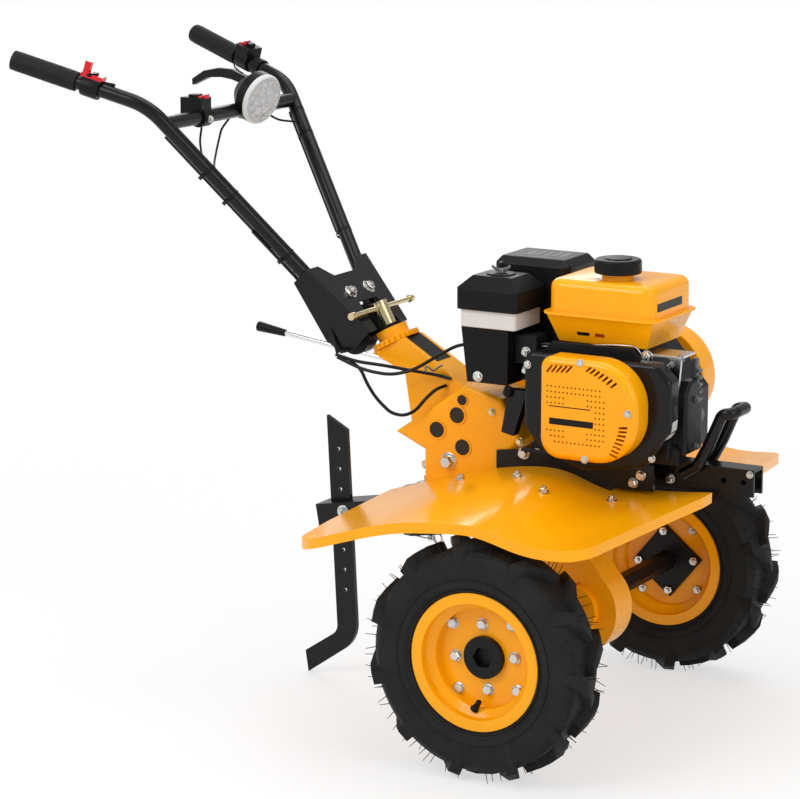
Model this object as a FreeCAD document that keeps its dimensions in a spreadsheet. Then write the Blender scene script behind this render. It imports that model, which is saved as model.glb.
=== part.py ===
"""Walk-behind rotary tiller on two lugged drive tyres, as a parametric document.

A single-cylinder engine stands on a frame in front of a cast gearbox. The gearbox drives the
wheel axle through a chain leg, carries the handlebar on a raked neck, and holds a hitch at
its back with a drag arm and a depth stake.

Lengths are millimetres and angles degrees. X points forward, Y to the machine's left and Z
up. Z = 0 is the ground. The wheel axle stands at x = AXLE_X, so that the frame's origin lies
on the ground below the middle of the whole machine. Every driving dimension is a cell of the
sheet, and a number that is worked out from cells remembers its formula as a Size.
"""
import FreeCAD
import Part
import Sketcher
import math
import os
from FreeCAD import Placement, Rotation, Vector
from types import SimpleNamespace

# --- Driving dimensions -----------------------------------------------------------------
# A name that ends in _back is how far behind the axle a point lies, _ahead how far ahead of
# it, _up its height over the ground, and _right or _left its distance from the middle plane.

SHEET = {
    # Wheels: lugged tyres on pressed steel rims.
    "tyre_radius": 205.0,
    "tyre_wide": 100.0,
    "tyre_wall": 9.0,
    "lug_count": 11.0,
    "lug_high": 18.0,
    "lug_root": 3.0,
    "lug_proud": 2.5,
    "lug_overlap": 5.0,
    "lug_knee": 30.0,
    "lug_sweep": 10.5,
    "lug_crest_half": 10.5,
    "lug_flare": 4.0,
    "lug_drop": 12.0,
    "lug_bite": 9.0,
    "lug_end_radius": 160.0,
    "tread_thick": 24.0,
    "track_wide": 722.0,
    "rim_flange_radius": 117.5,
    "rim_seat_radius": 101.6,
    "rim_well_radius": 88.0,
    "rim_wide": 78.0,
    "rim_seat_wide": 15.0,
    "rim_well_slope": 8.0,
    "rim_sheet": 3.0,
    "disc_recess": 41.0,
    "disc_sheet": 5.0,
    "bead_fit": 0.3,
    "hub_radius": 36.0,
    "hub_proud": 11.0,
    "hub_core_radius": 27.0,
    "hub_plate_side": 98.0,
    "hub_plate_sheet": 8.0,
    "bolt_grid_turn": 6.0,
    "hex_flats": 32.0,
    "hex_fit": 0.1,
    "hex_short": 14.0,
    "journal_radius": 21.0,
    "journal_proud": 6.0,
    "running_fit": 0.05,
    # Gearbox casting with its chain leg down to the axle.
    "case_wide": 120.0,
    "case_seam_back": 345.0,
    "case_seam_up": 488.0,
    "case_peak_back": 205.0,
    "case_peak_up": 587.0,
    "case_brow_back": 134.0,
    "case_brow_up": 568.0,
    "case_nose_back": 95.0,
    "case_nose_up": 501.0,
    "case_chin_back": 130.0,
    "case_chin_up": 455.0,
    "case_foot_up": 395.0,
    "case_heel_back": 286.0,
    "case_heel_up": 462.0,
    "case_round": 10.0,
    "plug_radius": 17.5,
    "plug_proud": 2.0,
    "leg_wide": 64.0,
    "leg_radius": 80.0,
    "leg_shoulder_back": 70.0,
    "leg_shoulder_up": 430.0,
    "cap_radius": 46.0,
    "cap_proud": 14.0,
    # Raked neck with the toothed head that the handlebar swivels on.
    "neck_wide": 70.0,
    "neck_foot_back": 324.0,
    "neck_front_back": 217.0,
    "neck_knee_back": 338.0,
    "neck_knee_up": 590.0,
    "head_back": 373.0,
    "head_up": 636.0,
    "swivel_lean": 28.0,
    "head_radius": 44.0,
    "head_thick": 10.0,
    "crown_radius": 29.0,
    "crown_thick": 18.0,
    "seat_gap": 0.3,
    "stud_radius": 8.0,
    "yoke_radius": 24.0,
    "yoke_thick": 6.0,
    "clamp_nut_radius": 13.0,
    "clamp_nut_long": 45.0,
    "clamp_bar_radius": 4.5,
    "clamp_bar_long": 205.0,
    "clamp_bar_drop": 11.0,
    # Tilt hinge between the swivel block and the handlebar plate.
    "tilt_back": 444.0,
    "tilt_up": 641.0,
    "barrel_radius": 18.0,
    "barrel_long": 60.0,
    "tilt_disc_radius": 29.0,
    "tilt_disc_thick": 16.0,
    "tilt_bolt_radius": 6.0,
    "block_half": 12.0,
    "block_top_back": 440.0,
    "block_top_up": 700.0,
    "block_top_long": 18.0,
    # Handlebar plate, a folded sheet.
    "plate_back": 390.0,
    "plate_up": 665.0,
    "plate_slope": 44.5,
    "plate_long": 152.0,
    "plate_front_half": 66.0,
    "plate_rear_half": 104.0,
    "plate_sheet": 3.0,
    "plate_notch_half": 64.0,
    "plate_notch_deep": 26.0,
    "plate_slot_half": 42.0,
    "plate_slot_deep": 62.0,
    "plate_rear_deep": 37.0,
    "plate_front_deep": 76.0,
    # Handle tubes, crossbar and grips.
    "tube_radius": 13.0,
    "tube_wall": 2.0,
    "tube_bend": 110.0,
    "tube_mid_back": 509.0,
    "tube_mid_left": 87.0,
    "tube_mid_up": 759.0,
    "tube_apex_back": 744.0,
    "tube_apex_left": 228.0,
    "tube_apex_up": 1058.0,
    "tube_end_back": 983.0,
    "tube_end_left": 289.0,
    "tube_end_up": 1131.0,
    "tube_tail": 76.0,
    "crossbar_down": 42.0,
    "grip_radius": 17.5,
    "grip_long": 122.0,
    "grip_cap": 3.0,
    # Controls on the handlebar.
    "lamp_radius": 47.0,
    "lamp_deep": 44.0,
    "lamp_lens_radius": 43.0,
    "lamp_lens_thick": 8.0,
    "lamp_left": 48.0,
    "lamp_back": 668.0,
    "lamp_up": 1040.0,
    "switch_wall": 5.0,
    "switch_right": 95.0,
    "switch_long": 32.0,
    "lever_thick": 12.0,
    "lever_clamp": 60.0,
    "lever_ring": 20.0,
    "lamp_dip": 17.0,
    "lamp_toe": 9.0,
    # Front beam, bumper and engine frame.
    "nose_reach": 325.0,
    "beam_half": 20.0,
    "beam_back": 96.0,
    "beam_top_up": 488.0,
    "beam_deep": 47.0,
    "beam_web": 5.0,
    "beam_hole_radius": 5.0,
    "beam_hole_pitch": 36.0,
    "beam_hole_ahead": 288.0,
    "beam_hole_up": 465.0,
    "bumper_radius": 10.0,
    "bumper_wall": 2.0,
    "bumper_bend": 14.0,
    "bumper_foot_ahead": 199.0,
    "bumper_foot_up": 469.0,
    "bumper_toe_ahead": 226.0,
    "bumper_toe_up": 486.0,
    "bumper_knee_ahead": 246.0,
    "bumper_knee_up": 524.0,
    "bumper_top_ahead": 270.0,
    "bumper_top_up": 580.0,
    "bumper_tip_ahead": 290.0,
    "bumper_tip_up": 584.0,
    "frame_sheet": 6.0,
    "frame_long": 300.0,
    "frame_half": 84.0,
    # Fenders.
    "fender_sheet": 2.0,
    "fender_lip": 16.0,
    "fender_edge": 3.0,
    "fender_round": 45.0,
    "fender_tail_round": 95.0,
    "fender_heel_back": 352.0,
    "fender_rear_back": 370.0,
    "fender_tail_back": 366.0,
    "fender_elbow": 250.0,
    "fender_shoulder_ahead": 200.0,
    "fender_nose_ahead": 257.0,
    "fender_nose_wide": 70.0,
    "fender_step_ahead": 84.0,
    "fender_case_back": 150.0,
    "fender_inner": 36.0,
    "fender_spare": 6.0,
    "fender_outer": 405.0,
    # Engine.
    "crank_up": 592.0,
    "crank_ahead": 84.0,
    "block_back": 54.0,
    "block_front": 200.0,
    "block_right": 90.0,
    "block_left": 70.0,
    "block_shoulder": 38.0,
    "block_slope": 34.0,
    "foot_thick": 12.0,
    "foot_half": 80.0,
    "boss_radius": 34.0,
    "gear_front": 221.0,
    "gear_half": 34.0,
    "gear_low": 510.0,
    "gear_high": 634.0,
    "fan_back": 56.0,
    "fan_front": 217.0,
    "fan_high": 672.0,
    "fan_low": 478.0,
    "fan_thick": 34.0,
    "fan_round": 16.0,
    "recoil_back": 2.0,
    "recoil_front": 178.0,
    "recoil_low": 504.0,
    "recoil_high": 678.0,
    "recoil_thick": 48.0,
    "recoil_big_round": 78.0,
    "recoil_top_round": 20.0,
    "recoil_foot_round": 36.0,
    "recoil_edge": 12.0,
    "tank_up": 688.0,
    "tank_seam_up": 736.0,
    "tank_seam_thick": 4.0,
    "tank_top_up": 796.0,
    "tank_back": 36.0,
    "tank_front": 180.0,
    "tank_right": 108.0,
    "tank_left": 72.0,
    "tank_lip": 9.0,
    "tank_foot_in": 26.0,
    "tank_corner": 24.0,
    "tank_edge": 16.0,
    "filler_ahead": 78.0,
    "filler_right": 40.0,
    "filler_radius": 27.0,
    "filler_rise": 10.0,
    "fuel_cap_radius": 40.0,
    "fuel_cap_high": 24.0,
    "cleaner_back": 195.0,
    "cleaner_front": 76.0,
    "cleaner_right": 112.0,
    "cleaner_left": 4.0,
    "cleaner_high": 57.0,
    "cleaner_bevel": 22.0,
    "band_up": 700.0,
    "band_high": 31.0,
    "band_in": 6.0,
    "base_low": 604.0,
    "base_back": 188.0,
    "base_foot_back": 176.0,
    "base_front": 97.0,
    "base_right": 104.0,
    "base_left": 16.0,
    "carb_half": 20.0,
    "carb_back": 74.3,
    "carb_right": 60.0,
    "carb_up": 640.0,
    "bowl_low": 612.0,
    "bowl_radius": 18.0,
    "barrel_front": 54.0,
    "barrel_back": 150.0,
    "barrel_low": 612.0,
    "barrel_high": 686.0,
    "barrel_right": 12.0,
    "barrel_left": 66.0,
    "fin_pitch": 12.0,
    "fin_gap": 6.0,
    "fin_deep": 12.0,
    "muffler_back": 184.0,
    "muffler_front": 38.0,
    "muffler_right": 4.0,
    "muffler_left": 120.0,
    "muffler_high": 122.0,
    "muffler_edge": 16.0,
    "guard_in": 104.0,
    "guard_thick": 56.0,
    "guard_rise": 10.0,
    "guard_radius": 90.0,
    "guard_rear_back": 190.0,
    "guard_rear_up": 520.0,
    "guard_rear_radius": 78.0,
    "link_up": 676.0,
    "link_back": 147.0,
    "link_front": 214.0,
    "link_right": 76.0,
    "link_left": 20.0,
    "link_sheet": 4.0,
    "link_web": 6.0,
    "link_foot_up": 590.0,
    "duct_right": 110.0,
    "duct_wide": 20.0,
    # Hitch jaw, pin, drag arm and depth stake.
    "hitch_back": 318.0,
    "hitch_drop": 23.0,
    "hitch_lean": 10.0,
    "hitch_half": 36.0,
    "jaw_sheet": 9.0,
    "jaw_gap": 66.0,
    "jaw_reach": 42.0,
    "pin_radius": 7.0,
    "arm_half": 28.0,
    "arm_gap": 8.0,
    "stake_back": 488.0,
    "stake_up": 311.0,
    "stake_wide": 41.0,
    "stake_thick": 9.0,
    "stake_lean": 3.0,
    "stake_rise": 179.0,
    "stake_point": 25.0,
    "stake_heel": 239.0,
    "stake_toe": 88.0,
    "stake_toe_high": 40.0,
    "stake_hole_radius": 4.0,
    "stake_hole_pitch": 37.5,
    "stake_first_hole": 118.0,
    "stake_fit": 0.5,
    # Shift lever and control cables.
    "lever_radius": 5.0,
    "lever_back": 236.0,
    "lever_inset": 32.0,
    "knob_radius": 9.5,
    "cable_radius": 3.0,
    "cable_head": 60.0,
    "cable_tail": 330.0,
    "wire_radius": 2.0,
}


class Size(float):
    """A number that remembers the sheet formula it was worked out from."""

    def __new__(cls, value, formula):
        size = super().__new__(cls, value)
        size.formula = formula
        return size

    def __add__(self, other):
        return Size(float(self) + float(other), f"({self.formula} + {formula_of(other)})")

    def __radd__(self, other):
        return Size(float(other) + float(self), f"({formula_of(other)} + {self.formula})")

    def __sub__(self, other):
        return Size(float(self) - float(other), f"({self.formula} - {formula_of(other)})")

    def __rsub__(self, other):
        return Size(float(other) - float(self), f"({formula_of(other)} - {self.formula})")

    def __mul__(self, other):
        return Size(float(self) * float(other), f"({self.formula} * {formula_of(other)})")

    def __rmul__(self, other):
        return Size(float(other) * float(self), f"({formula_of(other)} * {self.formula})")

    def __truediv__(self, other):
        return Size(float(self) / float(other), f"({self.formula} / {formula_of(other)})")

    def __neg__(self):
        return Size(-float(self), f"(0 - {self.formula})")


def formula_of(number):
    """The text that the expression engine reads for a Size or a plain number."""
    return number.formula if isinstance(number, Size) else repr(float(number))


def bind(thing, path, number):
    """Tie one property of a document object to the sheet."""
    thing.setExpression(path, formula_of(number))


DOC = FreeCAD.newDocument("RotaryTiller")
S = SimpleNamespace()
NODES = []


def make_sheet():
    """Write every driving dimension to its own aliased cell and list it in S."""
    sheet = DOC.addObject("Spreadsheet::Sheet", "Sizes")
    for row, (alias, value) in enumerate(SHEET.items(), start=1):
        sheet.set(f"A{row}", alias)
        sheet.set(f"B{row}", str(value))
        sheet.setAlias(f"B{row}", alias)
        setattr(S, alias, Size(value, f"Sizes.{alias}"))
    DOC.recompute()


make_sheet()


def cosine(angle):
    """Cosine of an angle in degrees, with its formula."""
    return Size(math.cos(math.radians(angle)), f"cos({formula_of(angle)})")


def sine(angle):
    """Sine of an angle in degrees, with its formula."""
    return Size(math.sin(math.radians(angle)), f"sin({formula_of(angle)})")


# --- Building blocks ----------------------------------------------------------------------

def place(thing, at, axis=(0, 1, 0), turn=0.0):
    """Put an object at a bound point, turned by a bound angle about a fixed axis."""
    thing.Placement = Placement(Vector(*map(float, at)), Rotation(Vector(*axis), float(turn)))
    for name, number in zip("xyz", at):
        bind(thing, f"Placement.Base.{name}", number)
    if isinstance(turn, Size):
        bind(thing, "Placement.Rotation.Angle", turn)


def keep(thing, label):
    """Make an object one of the machine's sub-parts."""
    thing.Label = label
    NODES.append(thing)
    return thing


class Circle:
    """A round outline in a sketch."""

    def __init__(self, u, v, radius):
        self.u = u
        self.v = v
        self.radius = radius


def rectangle(low_u, high_u, low_v, high_v):
    """Corners of a rectangle in a sketch."""
    return [(low_u, low_v), (high_u, low_v), (high_u, high_v), (low_u, high_v)]


def regular(count, radius, turn=0.0, u=0.0, v=0.0):
    """Corners of a regular polygon with the given corner radius."""
    angles = [math.radians(turn + 360.0 * index / count) for index in range(count)]
    return [(u + radius * math.cos(angle), v + radius * math.sin(angle)) for angle in angles]


def turned(points, degrees):
    """Sketch points turned about the sketch's origin."""
    c = math.cos(math.radians(degrees))
    s = math.sin(math.radians(degrees))
    return [(u * c - v * s, u * s + v * c) for u, v in points]


class Piece:
    """A PartDesign body whose sketches and features are bound to the sheet.

    Sketch planes are XY (pads along +Z), YZ (pads along +X) and XZ (pads along Y).
    """

    def __init__(self, label, at=(0.0, 0.0, 0.0), axis=(0, 1, 0), turn=0.0, whole=True):
        self.body = DOC.addObject("PartDesign::Body", label)
        place(self.body, at, axis, turn)
        if whole:
            keep(self.body, label)

    def datum(self, role):
        """One of the body's own origin planes or axes."""
        return next(item for item in self.body.Origin.OriginFeatures if item.Role == role)

    def sketch(self, plane, outlines, height=0.0):
        """Draw closed outlines on an origin plane, moved along the plane's normal."""
        drawing = self.body.newObject("Sketcher::SketchObject", "Sketch")
        drawing.AttachmentSupport = [(self.datum(f"{plane}_Plane"), "")]
        drawing.MapMode = "FlatFace"
        bind(drawing, "AttachmentOffset.Base.z", height)
        for outline in outlines:
            if isinstance(outline, Circle):
                self._draw_circle(drawing, outline)
            else:
                self._draw_polygon(drawing, outline)
        return drawing

    @staticmethod
    def _pin(drawing, index, place_on, corner):
        """Hold one sketch point at bound coordinates."""
        for kind, number in zip(("DistanceX", "DistanceY"), corner):
            rule = Sketcher.Constraint(kind, -1, 1, index, place_on, float(number))
            spot = drawing.addConstraint(rule)
            name = f"{kind}_{spot}_held"
            drawing.renameConstraint(spot, name)
            bind(drawing, f"Constraints.{name}", number)

    def _draw_circle(self, drawing, circle):
        centre = Vector(float(circle.u), float(circle.v), 0)
        index = drawing.addGeometry(Part.Circle(centre, Vector(0, 0, 1), float(circle.radius)))
        self._pin(drawing, index, 3, (circle.u, circle.v))
        spot = drawing.addConstraint(Sketcher.Constraint("Radius", index, float(circle.radius)))
        name = f"Radius_{spot}_held"
        drawing.renameConstraint(spot, name)
        bind(drawing, f"Constraints.{name}", circle.radius)

    def _draw_polygon(self, drawing, corners):
        count = len(corners)
        dots = [Vector(float(u), float(v), 0) for u, v in corners]
        lines = [drawing.addGeometry(Part.LineSegment(dots[n], dots[(n + 1) % count]))
                 for n in range(count)]
        for n in range(count):
            following = lines[(n + 1) % count]
            drawing.addConstraint(Sketcher.Constraint("Coincident", lines[n], 2, following, 1))
        for line, corner in zip(lines, corners):
            self._pin(drawing, line, 1, corner)

    def _feature(self, kind, name):
        DOC.recompute()
        return self.body.newObject(f"PartDesign::{kind}", name)

    def _settle(self, feature):
        """Recompute, make the feature the tip and stop if it changed nothing."""
        before = feature.BaseFeature.Shape.Volume if feature.BaseFeature else 0.0
        self.body.Tip = feature
        DOC.recompute()
        if "Invalid" in feature.State or "Error" in feature.State:
            raise RuntimeError(f"{self.body.Label}: {feature.Name} failed")
        if abs(feature.Shape.Volume - before) < 1e-6:
            raise RuntimeError(f"{self.body.Label}: {feature.Name} changed nothing")
        return feature

    def pad(self, plane, outlines, low, high, taper=0.0):
        """Solid between two heights along the plane's world axis."""
        base = -high if plane == "XZ" else low
        profile = self.sketch(plane, outlines, base)
        feature = self._feature("Pad", "Pad")
        feature.Profile = profile
        bind(feature, "Length", high - low)
        feature.TaperAngle = taper
        return self._settle(feature)

    def pocket(self, plane, outlines, low, high):
        """Cut between two heights along the plane's world axis."""
        base = -low if plane == "XZ" else high
        profile = self.sketch(plane, outlines, base)
        feature = self._feature("Pocket", "Pocket")
        feature.Profile = profile
        bind(feature, "Length", high - low)
        return self._settle(feature)

    def spin(self, plane, outline, about="H_Axis"):
        """Solid of revolution about one of the sketch's own axes."""
        profile = self.sketch(plane, [outline])
        feature = self._feature("Revolution", "Revolution")
        feature.Profile = profile
        feature.ReferenceAxis = (profile, [about])
        feature.Angle = 360.0
        return self._settle(feature)

    def ring(self, feature, role, count):
        """Repeat a feature round one of the body's axes."""
        pattern = self._feature("PolarPattern", "PolarPattern")
        pattern.Originals = [feature]
        pattern.Axis = (self.datum(role), [""])
        pattern.Angle = 360.0
        pattern.Occurrences = count
        return self._settle(pattern)

    def row(self, feature, role, pitch, count, backwards=False):
        """Repeat a feature along one of the body's axes."""
        pattern = self._feature("LinearPattern", "LinearPattern")
        pattern.Originals = [feature]
        pattern.Direction = (self.datum(role), [""])
        pattern.Reversed = backwards
        pattern.Occurrences = count
        bind(pattern, "Length", pitch * (count - 1))
        return self._settle(pattern)

    def round(self, radius, chosen):
        """Fillet the tip's edges that the given test picks."""
        return self._soften("Fillet", "Radius", radius, chosen)

    def bevel(self, size, chosen):
        """Chamfer the tip's edges that the given test picks."""
        return self._soften("Chamfer", "Size", size, chosen)

    def _soften(self, kind, prop, size, chosen):
        tip = self.body.Tip
        names = [f"Edge{number}" for number, edge in enumerate(tip.Shape.Edges, start=1)
                 if chosen(edge)]
        if not names:
            raise RuntimeError(f"{self.body.Label}: no edge to soften")
        feature = self._feature(kind, kind)
        feature.Base = (tip, names)
        bind(feature, prop, size)
        return self._settle(feature)


def runs_along(axis, *spots):
    """A test for straight edges along an axis, near given (u, v) places or anywhere."""
    index = "xyz".index(axis)
    others = [n for n in range(3) if n != index]

    def chosen(edge):
        if len(edge.Vertexes) != 2 or not isinstance(edge.Curve, (Part.Line, Part.LineSegment)):
            return False
        first, last = (vertex.Point for vertex in edge.Vertexes)
        if any(abs(first[n] - last[n]) > 0.01 for n in others):
            return False
        return not spots or any(
            all(abs(first[n] - float(spot)) < 0.05 for n, spot in zip(others, pair))
            for pair in spots
        )

    return chosen


def lies_at(axis, height):
    """A test for edges that lie wholly in one plane across an axis."""
    index = "xyz".index(axis)

    def chosen(edge):
        box = edge.BoundBox
        low = (box.XMin, box.YMin, box.ZMin)[index]
        high = (box.XMax, box.YMax, box.ZMax)[index]
        return abs(low - float(height)) < 0.01 and abs(high - float(height)) < 0.01

    return chosen


def cylinder(name, radius, long, at, axis=(0, 0, 1)):
    """A bound cylinder that starts at a point and runs along an axis."""
    rod = DOC.addObject("Part::Cylinder", name)
    bind(rod, "Radius", radius)
    bind(rod, "Height", long)
    lean = Rotation(Vector(0, 0, 1), Vector(*axis))
    rod.Placement = Placement(Vector(*map(float, at)), lean)
    for letter, number in zip("xyz", at):
        bind(rod, f"Placement.Base.{letter}", number)
    return rod


def fused(label, things):
    """Several solids joined into one sub-part."""
    whole = DOC.addObject("Part::MultiFuse", label)
    whole.Shapes = things
    whole.Refine = False
    return keep(whole, label)


def shaped(label, shape, at=(0.0, 0.0, 0.0)):
    """A sub-part whose bent or swept shape is worked out here from the sheet's sizes."""
    thing = DOC.addObject("Part::Feature", label)
    thing.Shape = shape
    place(thing, at)
    return keep(thing, label)


def bent_path(corners, bend=None):
    """Straight runs joined by tangent arcs.

    Without a bend radius, each arc is as large as its two runs allow.
    """
    edges = []
    start = corners[0]
    for before, corner, after in zip(corners, corners[1:], corners[2:]):
        back = (before - corner).normalize()
        ahead = (after - corner).normalize()
        half_turn = (math.pi - back.getAngle(ahead)) / 2
        shorter = min((before - corner).Length, (after - corner).Length)
        radius = bend if bend else 0.45 * shorter / math.tan(half_turn)
        reach = radius * math.tan(half_turn)
        inward = (back + ahead).normalize()
        crown = corner + inward * (radius / math.cos(half_turn) - radius)
        first = corner + back * reach
        last = corner + ahead * reach
        edges.append(Part.LineSegment(start, first).toShape())
        edges.append(Part.Arc(first, crown, last).toShape())
        start = last
    edges.append(Part.LineSegment(start, corners[-1]).toShape())
    return Part.Wire(edges)


def swept(corners, radius, bend=None):
    """A round solid along a bent path."""
    path = bent_path(corners, bend)
    across = (corners[1] - corners[0]).normalize()
    section = Part.Wire([Part.Circle(corners[0], across, float(radius)).toShape()])
    return path.makePipeShell([section], True, False)


def tube(corners, radius, wall, bend):
    """A hollow round tube along a bent path."""
    return swept(corners, radius, bend).cut(swept(corners, radius - wall, bend))


# --- Places that several sub-parts share ----------------------------------------------------

GRIP_RUN = Vector(S.tube_apex_back - S.tube_end_back, S.tube_end_left - S.tube_apex_left,
                  S.tube_end_up - S.tube_apex_up)
GRIP_LEAN = math.sqrt(1 - (GRIP_RUN.x / GRIP_RUN.Length) ** 2)
AXLE_X = (S.tube_end_back + S.grip_cap * math.sqrt(1 - GRIP_LEAN ** 2)
          + S.grip_radius * GRIP_LEAN - S.nose_reach) / 2
AXLE_UP = S.tyre_radius
HALF_TRACK = S.track_wide / 2
HITCH_UP = S.case_foot_up - S.hitch_drop
SIDES = {"right": -1, "left": 1}


def ahead(distance):
    """Row-frame X of a point that far ahead of the axle."""
    return AXLE_X + distance


def behind(distance):
    """Row-frame X of a point that far behind the axle."""
    return AXLE_X - distance


# --- Wheels ---------------------------------------------------------------------------------

def wheel_place(side):
    """Where a wheel's own frame stands: +Y of that frame points outboard."""
    return {"at": (AXLE_X, HALF_TRACK * SIDES[side], AXLE_UP), "axis": (0, 0, 1),
            "turn": 0.0 if side == "left" else 180.0}


DISC_OUT = S.rim_wide / 2 - S.disc_recess
DISC_IN = DISC_OUT - S.disc_sheet
HUB_OUT = DISC_OUT + S.hub_proud


def make_rim(side):
    """Pressed rim: flanges, bead seats, well and the dished disc."""
    half = S.rim_wide / 2
    sheet = S.rim_sheet
    seat_in = half - S.rim_seat_wide
    well = seat_in - S.rim_well_slope
    seat = S.rim_seat_radius
    flank = sheet * 0.4
    outer = [(half, S.rim_flange_radius), (half - sheet, S.rim_flange_radius),
             (half - sheet, seat), (seat_in, seat), (well, S.rim_well_radius)]
    inner = [(well - flank, S.rim_well_radius - sheet), (seat_in - flank, seat - sheet),
             (half, seat - sheet)]
    outline = outer + [(-u, v) for u, v in reversed(outer)]
    outline += [(-u, v) for u, v in reversed(inner)] + inner
    rim = Piece(f"rim_{side}", **wheel_place(side))
    rim.spin("YZ", outline)
    disc_edge = S.rim_well_radius - sheet / 2
    rim.spin("YZ", [(DISC_IN, S.hub_core_radius + S.seat_gap), (DISC_OUT, S.hub_core_radius + S.seat_gap),
                    (DISC_OUT, disc_edge), (DISC_IN, disc_edge)])


def make_tyre(side):
    """Tyre carcass, open towards the rim, with a V of lugs on each half of the tread."""
    bead = S.rim_wide / 2 - S.rim_sheet - S.bead_fit
    wall = S.tyre_wall
    half = S.tyre_wide / 2 - S.lug_proud
    foot = S.rim_seat_radius + S.bead_fit
    crown = S.tyre_radius - S.lug_high
    waist = (S.rim_flange_radius + crown) / 2
    outer = [(bead, foot), (bead, S.rim_flange_radius), (half - 2, S.rim_flange_radius + 12.0),
             (half, waist), (half, crown - 12.0), (half - 10.0, crown)]
    inner = [(half - wall - 6.0, crown - S.tread_thick), (half - wall, crown - S.tread_thick - 10.0),
             (half - wall, waist - 8.0), (bead - wall, S.rim_flange_radius + 4.0), (bead - wall, foot)]
    outline = outer + [(-u, v) for u, v in reversed(outer)]
    outline += [(-u, v) for u, v in reversed(inner)] + inner
    carcass = Piece(f"Carcass{side.title()}", at=(AXLE_X, HALF_TRACK * SIDES[side], AXLE_UP), axis=(0, 1, 0),
                    turn=90.0 / S.lug_count, whole=False)
    carcass.spin("YZ", outline)
    lugs = DOC.addObject("Part::Feature", f"Lugs{side.title()}")
    lugs.Shape = Part.makeCompound(tyre_lugs(SIDES[side]))
    place(lugs, **wheel_place(side))
    fused(f"tyre_{side}", [carcass.body, lugs])


def tyre_lugs(sign):
    """Solid lugs round the tread; the V points forward at the top of the wheel."""
    lugs = []
    pitch = 360.0 / float(S.lug_count)
    crest = S.lug_crest_half
    root = S.tyre_radius - S.lug_high - S.lug_root
    shoulder = S.tyre_wide / 2
    rim = shoulder - S.lug_bite
    tip = S.tyre_radius / math.cos(crest / S.tyre_radius)
    stations = [(-S.lug_overlap, S.lug_sweep * 0.58, crest * 0.9, S.tyre_radius - 2.0, -S.lug_overlap, root),
                (S.lug_knee * 0.4, 0.0, crest, tip, S.lug_knee * 0.4, root),
                (S.lug_knee, -S.lug_sweep * 0.42, crest, S.tyre_radius - 0.5, S.lug_knee, root),
                (shoulder, -S.lug_sweep * 0.72, crest * 1.1, S.tyre_radius - S.lug_drop, rim, root - S.lug_drop),
                (shoulder - S.lug_proud * 0.6, -S.lug_sweep * 0.8, crest * 0.6, S.lug_end_radius, rim,
                 S.lug_end_radius - S.lug_bite)]
    for flank, shift in ((1, 0.0), (-1, pitch / 2)):
        for count in range(int(S.lug_count)):
            turn = count * pitch + shift
            sections = [lug_section(sign * (turn + sweep), half, (flank * along, reach), (flank * base, low))
                        for along, sweep, half, reach, base, low in stations]
            lugs.append(faceted(sections[::-flank]))
    return lugs


def lug_section(turn, crest_half, crest, foot):
    """Four corners across one lug; crest and foot are each (along the axle, from the axle)."""
    corners = []
    for (along, radius), half in ((foot, -crest_half - S.lug_flare), (crest, -crest_half),
                                  (crest, crest_half), (foot, crest_half + S.lug_flare)):
        angle = math.radians(float(turn)) + float(half) / float(S.tyre_radius)
        corners.append(Vector(float(radius) * math.sin(angle), float(along), float(radius) * math.cos(angle)))
    return corners


def faceted(sections):
    """A solid of flat facets through a row of four-cornered sections."""
    outlines = [sections[0], sections[-1]]
    for near, far in zip(sections, sections[1:]):
        for first, second in zip(range(4), (1, 2, 3, 0)):
            outlines.append([near[first], near[second], far[second]])
            outlines.append([near[first], far[second], far[first]])
    faces = [Part.Face(Part.makePolygon(outline + outline[:1])) for outline in outlines]
    return Part.makeSolid(Part.makeShell(faces))


def make_hub(side):
    """Hub: outer flange, core through the disc, and the square clamping plate inside."""
    hub = Piece(f"hub_{side}", **wheel_place(side))
    half_plate = S.hub_plate_side / 2
    square = turned(rectangle(-half_plate, half_plate, -half_plate, half_plate), 45.0 + S.bolt_grid_turn)
    hub.pad("XZ", [Circle(0.0, 0.0, S.hub_radius)], DISC_OUT, HUB_OUT)
    hub.pad("XZ", [Circle(0.0, 0.0, S.hub_core_radius)], DISC_IN, DISC_OUT)
    hub.pad("XZ", [square], DISC_IN - S.hub_plate_sheet, DISC_IN)
    bore = regular(6, (S.hex_flats / 2 + S.hex_fit) / math.cos(math.pi / 6))
    hub.pocket("XZ", [bore], DISC_IN - S.hub_plate_sheet, HUB_OUT)


def make_axle():
    """Live axle: a hexagonal bar with a round journal inside the chain leg."""
    bar = DOC.addObject("Part::Prism", "HexBar")
    bar.Polygon = 6
    reach = HALF_TRACK + HUB_OUT - S.hex_short
    bind(bar, "Circumradius", S.hex_flats / 2 / math.cos(math.pi / 6))
    bind(bar, "Height", reach * 2)
    place(bar, (AXLE_X, -reach, AXLE_UP), (1, 0, 0), -90.0)
    half = S.leg_wide / 2 + S.cap_proud + S.journal_proud
    journal = cylinder("Journal", S.journal_radius, half * 2, (AXLE_X, -half, AXLE_UP), (0, 1, 0))
    fused("axle_shaft", [bar, journal])


make_axle()
for wheel_side in SIDES:
    make_rim(wheel_side)
    make_tyre(wheel_side)
    make_hub(wheel_side)


# --- Gearbox and neck -------------------------------------------------------------------------

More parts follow.
